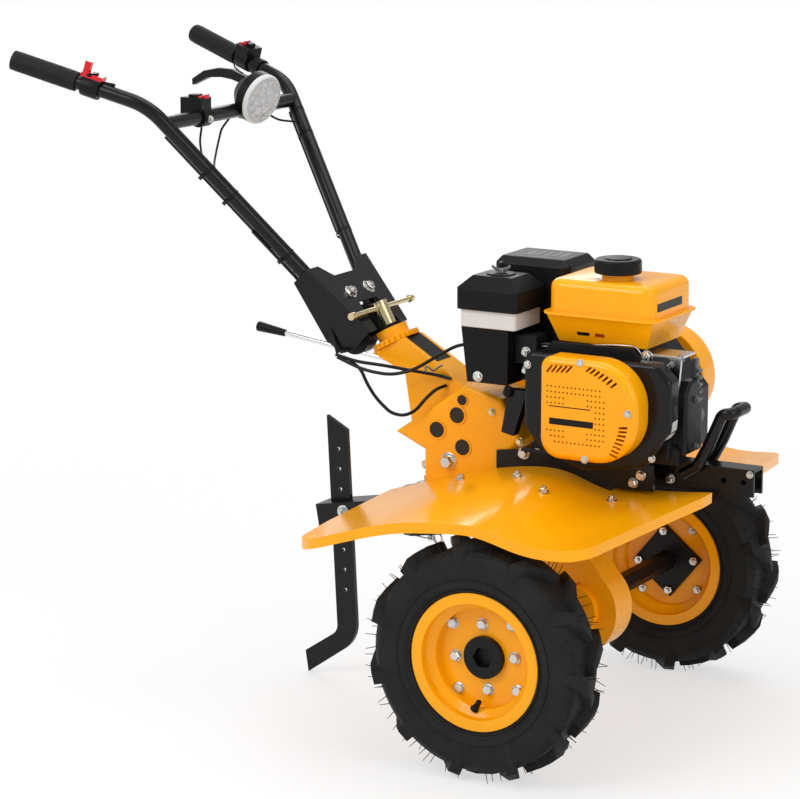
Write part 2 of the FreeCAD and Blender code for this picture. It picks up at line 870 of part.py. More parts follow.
def make_gearbox():
    """Cast case, chain leg and the bearing caps round the axle."""
    case = Piece("gearbox_case", at=(AXLE_X, 0.0, 0.0))
    half = S.case_wide / 2
    upper = [(-S.case_seam_back, S.case_seam_up), (-S.case_peak_back, S.case_peak_up),
             (-S.case_brow_back, S.case_brow_up), (-S.case_nose_back, S.case_nose_up),
             (-S.case_chin_back, S.case_chin_up), (-S.case_chin_back, S.case_foot_up),
             (-S.case_heel_back, S.case_foot_up), (-S.case_heel_back, S.case_heel_up)]
    case.pad("XZ", [upper], -half, half)
    case.round(S.case_round, lies_at("y", -half))
    case.round(S.case_round, lies_at("y", half))
    leg_half = S.leg_wide / 2
    leg = [(-S.case_heel_back + S.case_round, S.case_foot_up + S.case_round),
           (-S.leg_radius * 0.766, AXLE_UP - S.leg_radius * 0.643), (0.0, AXLE_UP),
           (S.leg_radius * 0.906, AXLE_UP + S.leg_radius * 0.423),
           (-S.leg_shoulder_back, S.leg_shoulder_up), (-S.case_chin_back - S.case_round, S.case_chin_up)]
    case.pad("XZ", [leg], -leg_half, leg_half)
    case.pad("XZ", [Circle(0.0, AXLE_UP, S.leg_radius)], -leg_half, leg_half)
    cap_half = leg_half + S.cap_proud
    case.pad("XZ", [Circle(0.0, AXLE_UP, S.cap_radius)], -cap_half, cap_half)
    for back, up, radius in ((258.0, 502.0, S.plug_radius), (218.0, 532.0, S.plug_radius),
                             (207.0, 476.0, S.plug_radius), (208.0, 560.0, S.plug_radius * 0.65)):
        case.pad("XZ", [Circle(-back, up, radius)], -half - S.plug_proud, -half + S.plug_proud)
    bore = Circle(0.0, AXLE_UP, S.journal_radius + S.running_fit)
    case.pocket("XZ", [bore], -cap_half, cap_half)


def seam_up(back):
    """Height of the case's sloping top seam at a place behind the axle."""
    slope = (S.case_peak_up - S.case_seam_up) / (S.case_seam_back - S.case_peak_back)
    return S.case_seam_up + (S.case_seam_back - back) * slope


LEAN_COS = cosine(S.swivel_lean)
LEAN_SIN = sine(S.swivel_lean)


def on_swivel(along, across):
    """(ahead, up) of a point measured along and square to the swivel axis, from the head."""
    return (across * LEAN_COS - along * LEAN_SIN - S.head_back,
            along * LEAN_COS + across * LEAN_SIN + S.head_up)


def swivel_place(along):
    """Placement of a sub-part whose own Z is the swivel axis."""
    step, rise = on_swivel(along, 0.0)
    return {"at": (AXLE_X + step, 0.0, rise), "axis": (0, 1, 0), "turn": -S.swivel_lean}


CROWN_TOP = S.head_thick + S.crown_thick


def make_neck():
    """Raked neck from the case's seam up to the underside of the head."""
    neck = Piece("handle_column", at=(AXLE_X, 0.0, 0.0))
    half = S.neck_wide / 2
    outline = [(-S.neck_foot_back, seam_up(S.neck_foot_back)), (-S.neck_front_back, seam_up(S.neck_front_back)),
               on_swivel(0.0, S.head_radius * 0.8), on_swivel(0.0, -S.head_radius * 0.8),
               (-S.neck_knee_back, S.neck_knee_up)]
    neck.pad("XZ", [outline], -half, half)


def make_head():
    """Toothed head and crown that the handlebar swivels on, bored for the clamp stud."""
    head = Piece("swivel_head", **swivel_place(0.0))
    head.pad("XY", [Circle(0.0, 0.0, S.head_radius)], 0.0, S.head_thick)
    tooth = [(u + S.head_radius, v) for u, v in regular(3, 5.0, 180.0)]
    notch = head.pocket("XY", [tooth], 0.0, S.head_thick)
    head.ring(notch, "Z_Axis", 24)
    head.pad("XY", [Circle(0.0, 0.0, S.crown_radius)], S.head_thick, CROWN_TOP)
    bore = Circle(0.0, 0.0, S.stud_radius + S.running_fit)
    head.pocket("XY", [bore], 0.0, CROWN_TOP)


make_gearbox()
make_neck()
make_head()


# --- Swivel block, tilt hinge and clamp ---------------------------------------------------------



def make_swivel_block():
    """Block that turns on the head: a yoke round the stud and the tilt hinge's fixed disc."""
    low = CROWN_TOP + S.seat_gap
    yoke = Piece("SwivelYoke", whole=False, **swivel_place(low))
    yoke.pad("XY", [Circle(0.0, 0.0, S.yoke_radius)], 0.0, S.yoke_thick)
    block = Piece("SwivelArm", at=(AXLE_X, 0.0, 0.0), whole=False)
    inside = S.yoke_radius * 0.75
    outline = [on_swivel(low, -inside), on_swivel(low, -S.crown_radius - 6.0),
               (-S.tilt_back + 4.0, S.tilt_up - S.barrel_radius * 0.9),
               (-S.tilt_back - S.barrel_radius * 0.9, S.tilt_up),
               (-S.block_top_back, S.block_top_up), (S.block_top_long - S.block_top_back, S.block_top_up),
               on_swivel(low + S.yoke_thick, -inside)]
    block.pad("XZ", [outline], -S.block_half, S.block_half)
    half = S.barrel_long / 2
    right = -half + S.tilt_disc_thick
    block.pad("XZ", [Circle(-S.tilt_back, S.tilt_up, S.barrel_radius)], right, half)
    block.pad("XZ", [Circle(-S.tilt_back, S.tilt_up, S.tilt_disc_radius)], right, right + S.tilt_disc_thick)
    block.pocket("XZ", [Circle(-S.tilt_back, S.tilt_up, S.tilt_bolt_radius + S.running_fit)], right, half)
    joined = DOC.addObject("Part::MultiFuse", "SwivelBlank")
    joined.Shapes = [yoke.body, block.body]
    step, rise = on_swivel(low, 0.0)
    bore = cylinder("StudHole", S.stud_radius, S.yoke_thick * 4, (AXLE_X + step, 0.0, rise))
    place(bore, (AXLE_X + step, 0.0, rise), (0, 1, 0), -S.swivel_lean)
    whole = DOC.addObject("Part::Cut", "SwivelBlock")
    whole.Base = joined
    whole.Tool = bore
    keep(whole, "swivel_block")


def make_clamp():
    """Long clamp nut with its stud and sliding bar."""
    base = CROWN_TOP + S.seat_gap + S.yoke_thick
    clamp = Piece("clamp_nut", **swivel_place(base))
    clamp.pad("XY", [Circle(0.0, 0.0, S.clamp_nut_radius)], 0.0, S.clamp_nut_long)
    clamp.pad("XY", [Circle(0.0, 0.0, S.stud_radius)], -base + 2.0, 0.0)
    height = S.clamp_nut_long - S.clamp_bar_drop
    half = S.clamp_bar_long / 2
    clamp.pad("XZ", [Circle(0.0, height, S.clamp_bar_radius)], -half, half)
    for end in (-1, 1):
        clamp.pad("XZ", [Circle(0.0, height, S.clamp_bar_radius + 2.0)], end * half - 5.0, end * half + 5.0)


def plate_place():
    """Placement whose own XY plane is the handle plate's top face, -X pointing up it."""
    return {"at": (AXLE_X - S.plate_back, 0.0, S.plate_up), "axis": (0, 1, 0), "turn": S.plate_slope}


def in_plate(back, up):
    """Plate-frame (x, z) of a point given behind the axle and over the ground."""
    run = S.plate_back - back
    rise = up - S.plate_up
    c = cosine(S.plate_slope)
    s = sine(S.plate_slope)
    return (run * c - rise * s, run * s + rise * c)


def make_flange(side):
    """Side flange of the handle plate, splayed with the plate's tapering edge."""
    sign = SIDES[side]
    flare = S.plate_rear_half - S.plate_front_half
    splay = Rotation(Vector(0, 0, 1), -sign * math.degrees(math.atan2(flare, S.plate_long)))
    rise = Rotation(Vector(0, 1, 0), float(S.plate_slope))
    root = Vector(float(AXLE_X - S.plate_back), 0, float(S.plate_up))
    edge = Vector(0, sign * float(S.plate_front_half), 0)
    long = math.hypot(S.plate_long, flare)
    x_tilt, z_tilt = in_plate(S.tilt_back, S.tilt_up)
    reach = S.barrel_radius + 4.0
    corners = [(0.0, -S.plate_sheet), (-long, -S.plate_sheet), (-long, -S.plate_rear_deep),
               (x_tilt - reach, -S.plate_front_deep), (x_tilt - reach * 0.5, z_tilt - reach * 0.87),
               (x_tilt + reach * 0.5, z_tilt - reach * 0.87), (x_tilt + reach, z_tilt)]
    corners = [root + rise.multVec(edge + splay.multVec(Vector(float(x), 0, float(z)))) for x, z in corners]
    inward = rise.multVec(splay.multVec(Vector(0, -sign * float(S.plate_sheet), 0)))
    face = Part.Face(Part.makePolygon(corners + corners[:1]))
    flange = DOC.addObject("Part::Feature", f"PlateFlange{side.title()}")
    flange.Shape = face.extrude(inward)
    return flange


def make_plate():
    """Folded handle plate with its two side flanges and the tilt hinge's moving disc."""
    plate = Piece("PlateSheet", whole=False, **plate_place())
    front = S.plate_front_half
    rear = S.plate_rear_half
    end = -S.plate_long
    notch = S.plate_notch_half
    slot = S.plate_slot_half
    outline = [(0.0, -front), (0.0, -slot), (-S.plate_slot_deep, -slot * 0.7),
               (-S.plate_slot_deep, slot * 0.7), (0.0, slot), (0.0, front), (end, rear), (end, notch),
               (end + S.plate_notch_deep, notch * 0.6), (end + S.plate_notch_deep, -notch * 0.6),
               (end, -notch), (end, -rear)]
    plate.pad("XY", [outline], -S.plate_sheet, 0.0)
    fused("handle_plate", [plate.body] + [make_flange(side) for side in SIDES])


def make_tilt_disc():
    """Moving disc and bolt of the tilt hinge, clamped to the plate's flanges."""
    disc = Piece("tilt_bolt", at=(AXLE_X, 0.0, 0.0))
    half = S.barrel_long / 2
    x_tilt, _ = in_plate(S.tilt_back, S.tilt_up)
    spacer = S.barrel_radius - 4.0
    flare = (S.plate_rear_half - S.plate_front_half) / S.plate_long
    flange_in = S.plate_front_half - S.plate_sheet * 1.1 - (x_tilt + spacer) * flare
    spot = (-S.tilt_back, S.tilt_up)
    disc.pad("XZ", [Circle(*spot, S.tilt_bolt_radius)], -flange_in, flange_in)
    disc.pad("XZ", [Circle(*spot, S.tilt_disc_radius)], -half - 2.0, -half + S.tilt_disc_thick - S.seat_gap)
    disc.pad("XZ", [Circle(*spot, spacer)], -flange_in, -half - 2.0)
    disc.pad("XZ", [Circle(*spot, spacer)], half + S.seat_gap, flange_in)


make_swivel_block()
make_clamp()
make_plate()
make_tilt_disc()


# --- Handle tubes and controls ----------------------------------------------------------------

def bar_point(back, left, up, side):
    """Row-frame point on one side of the handlebar."""
    return Vector(float(AXLE_X - back), SIDES[side] * float(left), float(up))


def bar_points(side):
    """Tail, apex and end of a handle tube's middle line."""
    middle = bar_point(S.tube_mid_back, S.tube_mid_left, S.tube_mid_up, side)
    apex = bar_point(S.tube_apex_back, S.tube_apex_left, S.tube_apex_up, side)
    end = bar_point(S.tube_end_back, S.tube_end_left, S.tube_end_up, side)
    tail = middle + (middle - apex).normalize() * float(S.tube_tail)
    return tail, apex, end


def make_handle(side):
    """Handle tube and its grip."""
    tail, apex, end = bar_points(side)
    shaped(f"handle_tube_{side}", tube([tail, apex, end], S.tube_radius, S.tube_wall, float(S.tube_bend)))
    run = (end - apex).normalize()
    start = end - run * float(S.grip_long)
    grip = Part.makeCylinder(float(S.grip_radius), float(S.grip_long + S.grip_cap), start, run)
    hole = Part.makeCylinder(float(S.tube_radius), float(S.grip_long), start, run)
    shaped(f"grip_{side}", grip.cut(hole))


def crossbar_point(side):
    """Where the crossbar's middle line meets a handle tube's."""
    tail, apex, _ = bar_points(side)
    return apex + (tail - apex).normalize() * float(S.crossbar_down)


def make_crossbar():
    """Tube between the handles, coped round them."""
    low = crossbar_point("right")
    high = crossbar_point("left")
    bar = Part.makeCylinder(float(S.tube_radius), (high - low).Length, low, high - low)
    bar = bar.cut(Part.makeCylinder(float(S.tube_radius - S.tube_wall), (high - low).Length, low, high - low))
    for side in SIDES:
        bar = bar.cut(swept(list(bar_points(side)), S.tube_radius, float(S.tube_bend)))
    shaped("crossbar", max(bar.Solids, key=lambda solid: solid.Volume))


for handle_side in SIDES:
    make_handle(handle_side)
make_crossbar()


def make_headlamp():
    """Headlamp shell on its clamp, and the lens."""
    centre = Vector(float(AXLE_X - S.lamp_back), float(S.lamp_left), float(S.lamp_up))
    aim = Rotation(Vector(0, 0, 1), -float(S.lamp_toe)).multVec(
        Rotation(Vector(0, 1, 0), float(S.lamp_dip)).multVec(Vector(1, 0, 0)))
    deep = float(S.lamp_deep)
    face = centre - aim * (deep / 2)
    brim = deep * 0.4
    wide = float(S.lamp_radius)
    shell = Part.makeCylinder(wide, brim, face, -aim)
    shell = shell.fuse(Part.makeCone(wide, wide * 0.5, deep - brim, face - aim * brim, -aim))
    cross = crossbar_point("left")
    spot = Vector(cross.x, float(S.lamp_left), cross.z)
    clamp = Part.makeCylinder(float(S.tube_radius) + 4.0, 24.0, spot - Vector(0, 12, 0), Vector(0, 1, 0))
    shell = shell.fuse(clamp)
    shell = shell.cut(Part.makeCylinder(float(S.tube_radius), 200.0, spot - Vector(0, 100, 0), Vector(0, 1, 0)))
    shaped("headlamp_shell", max(shell.Solids, key=lambda solid: solid.Volume))
    lens = Part.makeCylinder(float(S.lamp_lens_radius), float(S.lamp_lens_thick), face, aim)
    shaped("headlamp_lens", lens)


make_headlamp()


def along_grip(side, from_end):
    """Point on a handle tube's straight end, measured back from its tip, and its direction."""
    _, apex, end = bar_points(side)
    run = (end - apex).normalize()
    return end - run * float(from_end), run


def boxed(middle, run, long, wide, high, rise):
    """Box of a given length along a direction, raised above a point."""
    side = Vector(0, 0, 1).cross(run).normalize()
    up = run.cross(side).normalize()
    frame = Rotation(run, side, up, "XYZ")
    box = Part.makeBox(float(long), float(wide), float(high),
                       Vector(-float(long) / 2, -float(wide) / 2, float(rise)))
    box.Placement = Placement(middle, frame)
    return box


def rod_from(middle, run, radius, long):
    """Cylinder centred on a point."""
    return Part.makeCylinder(float(radius), float(long), middle - run * (float(long) / 2), run)


def make_stop_switch():
    """Engine stop switch clamped round the left handle."""
    spot, run = along_grip("left", S.grip_long + 24.0)
    body = boxed(spot, run, 34.0, 36.0, 22.0, 8.0).fuse(rod_from(spot, run, S.tube_radius + 5.0, 30.0))
    body = body.fuse(boxed(spot, run, 18.0, 14.0, 6.0, 30.0))
    shaped("stop_switch", body.cut(rod_from(spot, run, S.tube_radius, 60.0)))


def make_lamp_switch():
    """Lamp switch box on the crossbar."""
    cross = crossbar_point("right")
    spot = Vector(cross.x, -float(S.switch_right), cross.z)
    run = Vector(0, 1, 0)
    wide = S.switch_long * 1.4
    box = spot - Vector(float(S.switch_wall) * 2.4, 0, 0)
    body = boxed(box, run, S.switch_long, wide, wide, -S.switch_wall * 2)
    body = body.fuse(boxed(box, run, S.switch_long * 0.6, wide * 0.4, S.switch_wall, wide - S.switch_wall * 2))
    body = body.fuse(rod_from(spot, run, S.tube_radius + S.switch_wall, S.switch_long * 0.8))
    shaped("lamp_switch", body.cut(rod_from(spot, run, S.tube_radius, 60.0)))


def make_throttle():
    """Thumb throttle clamped round the right handle."""
    spot, run = along_grip("right", S.grip_long + 26.0)
    body = rod_from(spot, run, S.tube_radius + 5.0, 26.0)
    body = body.fuse(boxed(spot, run, 40.0, 24.0, 8.0, 15.0))
    body = body.fuse(boxed(spot + run * 14.0, run, 12.0, 10.0, 22.0, 20.0))
    shaped("throttle_lever", body.cut(rod_from(spot, run, S.tube_radius, 60.0)))


def make_clutch_lever():
    """Curved blade below the left grip, on a bracket clamped to the tube."""
    ring, run = along_grip("left", S.grip_long + S.lever_clamp)
    heading = Vector(run.x, run.y, 0).normalize()
    across = heading.cross(Vector(0, 0, 1)) * float(S.lever_thick / 2)
    body = rod_from(ring, run, S.tube_radius + 4.0, S.lever_ring)
    blade = [(-12.0, -6.0), (10.0, -6.0), (16.0, -22.0), (47.0, -16.0), (72.0, -9.0), (109.0, -9.0),
             (149.0, -17.0), (182.4, -35.0), (181.4, -47.0), (165.0, -40.0), (137.0, -29.0), (99.0, -26.0), (72.0, -28.0),
             (48.0, -33.0), (16.0, -38.0), (-12.0, -24.0)]
    corners = [ring + heading * along + Vector(0, 0, rise) - across for along, rise in blade]
    body = body.fuse(Part.Face(Part.makePolygon(corners + corners[:1])).extrude(across * 2))
    shaped("clutch_lever", body.cut(rod_from(ring, run, S.tube_radius, 90.0)))


make_stop_switch()
make_lamp_switch()
make_throttle()
make_clutch_lever()


# --- Frame, beam, bumper and fenders ------------------------------------------------------------

RAIL_TOP = S.beam_top_up
PLATE_TOP = RAIL_TOP + S.frame_sheet


def make_engine_frame():
    """Bolted frame under the engine: top plate and two side rails beside the case."""
    frame = Piece("engine_frame", at=(AXLE_X, 0.0, 0.0))
    inner = S.case_wide / 2
    rear = S.case_chin_back + 8.0
    front = S.frame_long - rear
    low = RAIL_TOP - S.beam_deep
    rail = [(-rear, RAIL_TOP - 8.0), (-rear, RAIL_TOP - 40.0), (-60.0, low), (front, low), (front, RAIL_TOP),
            (-S.case_nose_back + 14.0, RAIL_TOP)]
    frame.pad("XZ", [rail], inner, inner + S.frame_sheet)
    frame.pad("XZ", [rail], -inner - S.frame_sheet, -inner)
    top = rectangle(-S.case_nose_back + 14.0, front, -S.frame_half, S.frame_half)
    frame.pad("XY", [top], RAIL_TOP, PLATE_TOP)
    cross = rectangle(S.beam_back - S.frame_sheet, S.beam_back, low, RAIL_TOP)
    frame.pad("XZ", [cross], -inner, inner)


def make_beam():
    """Front beam: a channel with two holes near its nose."""
    beam = Piece("front_beam", at=(AXLE_X, 0.0, 0.0))
    low = S.beam_top_up - S.beam_deep
    web = S.beam_web
    half = S.beam_half
    outline = [(-half, low), (-half, S.beam_top_up), (half, S.beam_top_up), (half, low),
               (half - web, low), (half - web, S.beam_top_up - web), (web - half, S.beam_top_up - web),
               (web - half, low)]
    beam.pad("YZ", [outline], S.beam_back, S.nose_reach)
    first = S.beam_hole_ahead - S.beam_hole_pitch / 2
    hole = beam.pocket("XZ", [Circle(first, S.beam_hole_up, S.beam_hole_radius)], -half, half)
    beam.row(hole, "X_Axis", S.beam_hole_pitch, 2)


def make_bumper():
    """Bumper hoop welded to the beam's sides."""
    half = float(S.beam_half + S.bumper_radius)
    base = [(S.bumper_foot_ahead, S.bumper_foot_up), (S.bumper_toe_ahead, S.bumper_toe_up),
            (S.bumper_knee_ahead, S.bumper_knee_up), (S.bumper_top_ahead, S.bumper_top_up),
            (S.bumper_tip_ahead, S.bumper_tip_up)]
    right = [Vector(float(AXLE_X + x), -half, float(z)) for x, z in base]
    left = [Vector(point.x, half, point.z) for point in reversed(right)]
    shaped("bumper", tube(right + left, S.bumper_radius, S.bumper_wall, float(S.bumper_bend)))


# Fender arch: distance ahead of the axle, height at the inner edge, height at the outer edge.
FENDER_ARCH = ((-400, 368, 340), (-323, 392, 367), (-237, 419, 396), (-150, 445, 420), (-67, 460, 431),
               (6, 457, 433), (72, 436, 418), (126, 434, 412), (183, 437, 416), (290, 447, 433))


def make_fender(side):
    """Arched sheet fender with a turned-down lip, lower along its outer edge."""
    sign = SIDES[side]
    edges = []
    for out, column in ((S.fender_inner - S.fender_spare, 1), (S.fender_outer + S.fender_spare, 2)):
        curve = Part.BSplineCurve()
        curve.interpolate(Points=[Vector(row[0], sign * float(out), row[column]) for row in FENDER_ARCH],
                          Parameters=[float(row[0]) for row in FENDER_ARCH])
        edges.append(curve.toShape())
    sheet = Part.makeRuledSurface(edges[0], edges[1]).common(fender_plan(sign, 0.0))
    rim = sheet.cut(fender_plan(sign, float(S.fender_edge)))
    top = sheet.extrude(Vector(0, 0, float(S.fender_sheet)))
    body = top.fuse(rim.extrude(Vector(0, 0, -float(S.fender_lip))))
    shaped(f"fender_{side}", max(body.removeSplitter().Solids, key=lambda solid: solid.Volume),
           (AXLE_X, 0.0, 0.0))


def fender_plan(sign, inset):
    """Tall prism over the fender's plan, drawn in at its free edges, with round outer corners."""
    beside_case = S.case_wide / 2 + S.seat_gap
    beside_rail = beside_case + S.frame_sheet
    outer = S.fender_outer - inset
    plan = [(-S.fender_heel_back + inset, beside_case), (-S.fender_rear_back + inset, S.fender_elbow),
            (-S.fender_tail_back + inset, outer), (S.fender_shoulder_ahead - inset, outer),
            (S.fender_nose_ahead - inset, S.fender_nose_wide), (S.fender_nose_ahead - inset, S.fender_inner),
            (S.fender_step_ahead, S.fender_inner), (S.fender_step_ahead, beside_rail),
            (-S.fender_case_back, beside_rail), (-S.fender_case_back, beside_case)]
    corners = [Vector(float(x), sign * float(y), 250.0) for x, y in plan]
    prism = Part.Face(Part.makePolygon(corners + corners[:1])).extrude(Vector(0, 0, 260))
    for tail, radius in ((True, S.fender_tail_round - inset), (False, S.fender_round - inset)):
        corner = [edge for edge in prism.Edges
                  if upright(edge, sign * float(outer)) and (edge.Vertexes[0].X < 0) == tail]
        prism = prism.makeFillet(float(radius), corner)
    return prism


def upright(edge, out):
    """Whether an edge stands upright at a distance from the centre plane."""
    low, high = edge.Vertexes[0].Point, edge.Vertexes[-1].Point
    return abs(low.y - out) < 0.1 and abs(high.y - out) < 0.1 and abs(high.z - low.z) > 1.0


make_engine_frame()
make_beam()
make_bumper()
for fender_side in SIDES:
    make_fender(fender_side)


# --- Engine -----------------------------------------------------------------------------------

def make_crankcase():
    """Crankcase block with its mounting foot, output boss and timing cover."""
    case = Piece("crankcase", at=(AXLE_X, 0.0, 0.0))
    low = PLATE_TOP + S.foot_thick
    shoulder = S.tank_up - S.block_shoulder
    outline = [(-S.block_back, low), (-S.block_back, shoulder), (S.block_slope - S.block_back, S.tank_up),
               (S.block_front - S.block_slope * 2, S.tank_up), (S.block_front, S.tank_up - S.block_slope * 2.4),
               (S.block_front, low)]
    case.pad("XZ", [outline], -S.block_right, S.block_left)
    foot = rectangle(-S.block_back - 10.0, S.block_front - S.block_slope, -S.foot_half, S.foot_half)
    case.pad("XY", [foot], PLATE_TOP, low)
    case.pad("XZ", [Circle(S.crank_ahead, S.crank_up, S.boss_radius)], S.block_left, S.guard_in)
    chamfer = S.gear_half * 0.6
    cover = [(-S.gear_half, S.gear_low), (S.gear_half, S.gear_low), (S.gear_half, S.gear_high - chamfer),
             (S.gear_half - chamfer, S.gear_high), (chamfer - S.gear_half, S.gear_high),
             (-S.gear_half, S.gear_high - chamfer)]
    case.pad("YZ", [[(u - S.gear_half, v) for u, v in cover]], S.block_front, S.gear_front)
    case.round(S.foot_thick / 2, lies_at("x", S.gear_front))


def make_blower():
    """Fan housing on the crankcase's right face."""
    housing = Piece("blower_housing", at=(AXLE_X, 0.0, 0.0))
    rear = -S.fan_back
    front = S.fan_front
    outline = [(rear, S.fan_low + 64.0), (rear, S.fan_high), (front - 27.0, S.fan_high),
               (front, S.fan_high - 27.0), (front, S.fan_low + 82.0), (front - 47.0, S.fan_low + 16.0),
               (-rear, S.fan_low), (rear + 36.0, S.fan_low + 24.0)]
    face = -S.block_right - S.fan_thick
    housing.pad("XZ", [outline], face, -S.block_right)
    housing.round(S.fan_round, runs_along("y"))
    housing.round(S.fan_round / 2, lies_at("y", face))


def make_recoil():
    """Recoil starter cover: a rounded D with a soft face edge."""
    cover = Piece("recoil_cover", at=(AXLE_X, 0.0, 0.0))
    rear = -S.recoil_back
    front = S.recoil_front
    inner = -S.block_right - S.fan_thick
    face = inner - S.recoil_thick
    cover.pad("XZ", [[(rear, S.recoil_low), (rear, S.recoil_high), (front, S.recoil_high), (front, S.recoil_low)]],
              face, inner)
    cover.round(S.recoil_big_round, runs_along("y", (front, S.recoil_high), (front, S.recoil_low)))
    cover.round(S.recoil_top_round, runs_along("y", (rear, S.recoil_high)))
    cover.round(S.recoil_foot_round, runs_along("y", (rear, S.recoil_low)))
    cover.round(S.recoil_edge, lies_at("y", face))


def make_tank():
    """Fuel tank of two halves round a seam flange, with its filler neck."""
    tank = Piece("fuel_tank", at=(AXLE_X, 0.0, 0.0))
    seam_top = S.tank_seam_up + S.tank_seam_thick
    tank.pad("XY", [tank_outline(0.0)], S.tank_seam_up, seam_top)
    tank.round(S.tank_corner, runs_along("z"))
    tank.pad("XY", [tank_outline(S.tank_lip)], seam_top, S.tank_top_up)
    tank.round(S.tank_corner, runs_along("z", *tank_outline(S.tank_lip)))
    tank.round(S.tank_edge, lies_at("z", S.tank_top_up))
    lean = math.degrees(math.atan2(S.tank_foot_in - S.tank_lip, S.tank_seam_up - S.tank_up))
    tank.pad("XY", [tank_outline(S.tank_foot_in)], S.tank_up, S.tank_seam_up, taper=lean)
    tank.pad("XY", [Circle(S.filler_ahead, -S.filler_right, S.filler_radius)],
             S.tank_top_up - S.filler_rise, S.tank_top_up + S.filler_rise)


def tank_outline(inset):
    """Plan of the tank, drawn in from its seam flange."""
    return rectangle(inset - S.tank_back, S.tank_front - inset, inset - S.tank_right, S.tank_left - inset)


def make_fuel_cap():
    """Filler cap."""
    cap = Piece("fuel_cap", at=(AXLE_X, 0.0, 0.0))
    low = S.tank_top_up + S.filler_rise
    cap.pad("XY", [Circle(S.filler_ahead, -S.filler_right, S.fuel_cap_radius)], low, low + S.fuel_cap_high)
    cap.round(S.filler_rise / 2, lies_at("z", low + S.fuel_cap_high))


def make_air_cleaner():
    """Air cleaner: base chamber, pressed band and chamfered cover with its wing stud."""
    base = Piece("air_cleaner_base", at=(AXLE_X, 0.0, 0.0))
    base.pad("XZ", [[(-S.base_back, S.band_up), (-S.base_foot_back, S.base_low), (-S.base_front, S.base_low),
                     (-S.base_front, S.band_up)]], -S.base_right, -S.base_left)
    band_top = S.band_up + S.band_high
    band = Piece("air_cleaner_band", at=(AXLE_X, 0.0, 0.0))
    band.pad("XY", [cleaner_outline(S.band_in)], S.band_up, band_top)
    band.round(S.band_in, runs_along("z"))
    cover = Piece("air_cleaner_cover", at=(AXLE_X, 0.0, 0.0))
    top = band_top + S.cleaner_high
    cover.pad("XY", [cleaner_outline(0.0)], band_top, top)
    cover.bevel(S.cleaner_bevel, lies_at("z", top))
    cover.round(S.band_in * 1.6, runs_along("z"))
    middle = (-(S.cleaner_back + S.cleaner_front) / 2, -(S.cleaner_right + S.cleaner_left) / 2)
    cover.pad("XY", [Circle(*middle, S.carb_half)], top, top + S.tank_seam_thick / 2)
    cover.pad("XY", [Circle(*middle, S.tank_seam_thick)], top, top + S.carb_half)


def cleaner_outline(inset):
    """Plan of the air cleaner's cover, drawn in from its edge."""
    return rectangle(inset - S.cleaner_back, -S.cleaner_front - inset, inset - S.cleaner_right,
                     -S.cleaner_left - inset)


def make_engine_top():
    """Carburettor, finned cylinder and muffler box."""
    carb = Piece("carburettor", at=(AXLE_X, 0.0, 0.0))
    half = S.carb_half
    body = rectangle(-S.base_front + S.seat_gap, half - S.carb_back, -S.carb_right - half, half - S.carb_right)
    carb.pad("XY", [body], S.carb_up, S.carb_up + half * 2.5)
    carb.pad("XY", [Circle(-S.carb_back, -S.carb_right, S.bowl_radius)], S.bowl_low, S.carb_up)
    block = Piece("cylinder", at=(AXLE_X, 0.0, 0.0))
    block.pad("XZ", [[(-S.barrel_front, S.barrel_low - S.fin_pitch), (-S.barrel_front, S.barrel_high),
                      (-S.barrel_back, S.barrel_high), (-S.barrel_back, S.barrel_low + S.fin_pitch * 2)]],
              -S.barrel_right, S.barrel_left)
    first = -S.barrel_front - S.fin_pitch
    groove = rectangle(first - S.fin_gap, first, S.barrel_high - S.fin_deep, S.barrel_high)
    cut = block.pocket("XZ", [groove], -S.barrel_right, S.barrel_left)
    block.row(cut, "X_Axis", S.fin_pitch, 7, backwards=True)
    muffler = Piece("muffler", at=(AXLE_X, 0.0, 0.0))
    top = S.barrel_high + S.muffler_high
    muffler.pad("XY", [rectangle(-S.muffler_back, -S.muffler_front, S.muffler_right, S.muffler_left)],
                S.barrel_high, top)
    muffler.round(S.muffler_edge, runs_along("z"))
    muffler.bevel(S.muffler_edge * 0.75, lies_at("z", top))


def make_belt_cover():
    """Belt guard round the engine pulley and the gearbox pulley on the left side."""
    guard = Piece("belt_cover", at=(AXLE_X, 0.0, 0.0))
    low = S.guard_in
    high = S.guard_in + S.guard_thick
    front = (S.crank_ahead, S.crank_up + S.guard_rise)
    rear = (-S.guard_rear_back, S.guard_rear_up)
    guard.pad("XZ", [Circle(*front, S.guard_radius)], low, high)
    guard.pad("XZ", [Circle(*rear, S.guard_rear_radius)], low, high)
    lean = math.atan2(front[1] - rear[1], front[0] - rear[0])
    outline = [(u - radius * side * math.sin(lean), v + radius * side * math.cos(lean))
               for u, v, radius, side in ((*rear, S.guard_rear_radius, 1), (*front, S.guard_radius, 1),
                                          (*front, S.guard_radius, -1), (*rear, S.guard_rear_radius, -1))]
    guard.pad("XZ", [outline], low, high)
    guard.round(S.tank_edge / 2, lies_at("y", high))


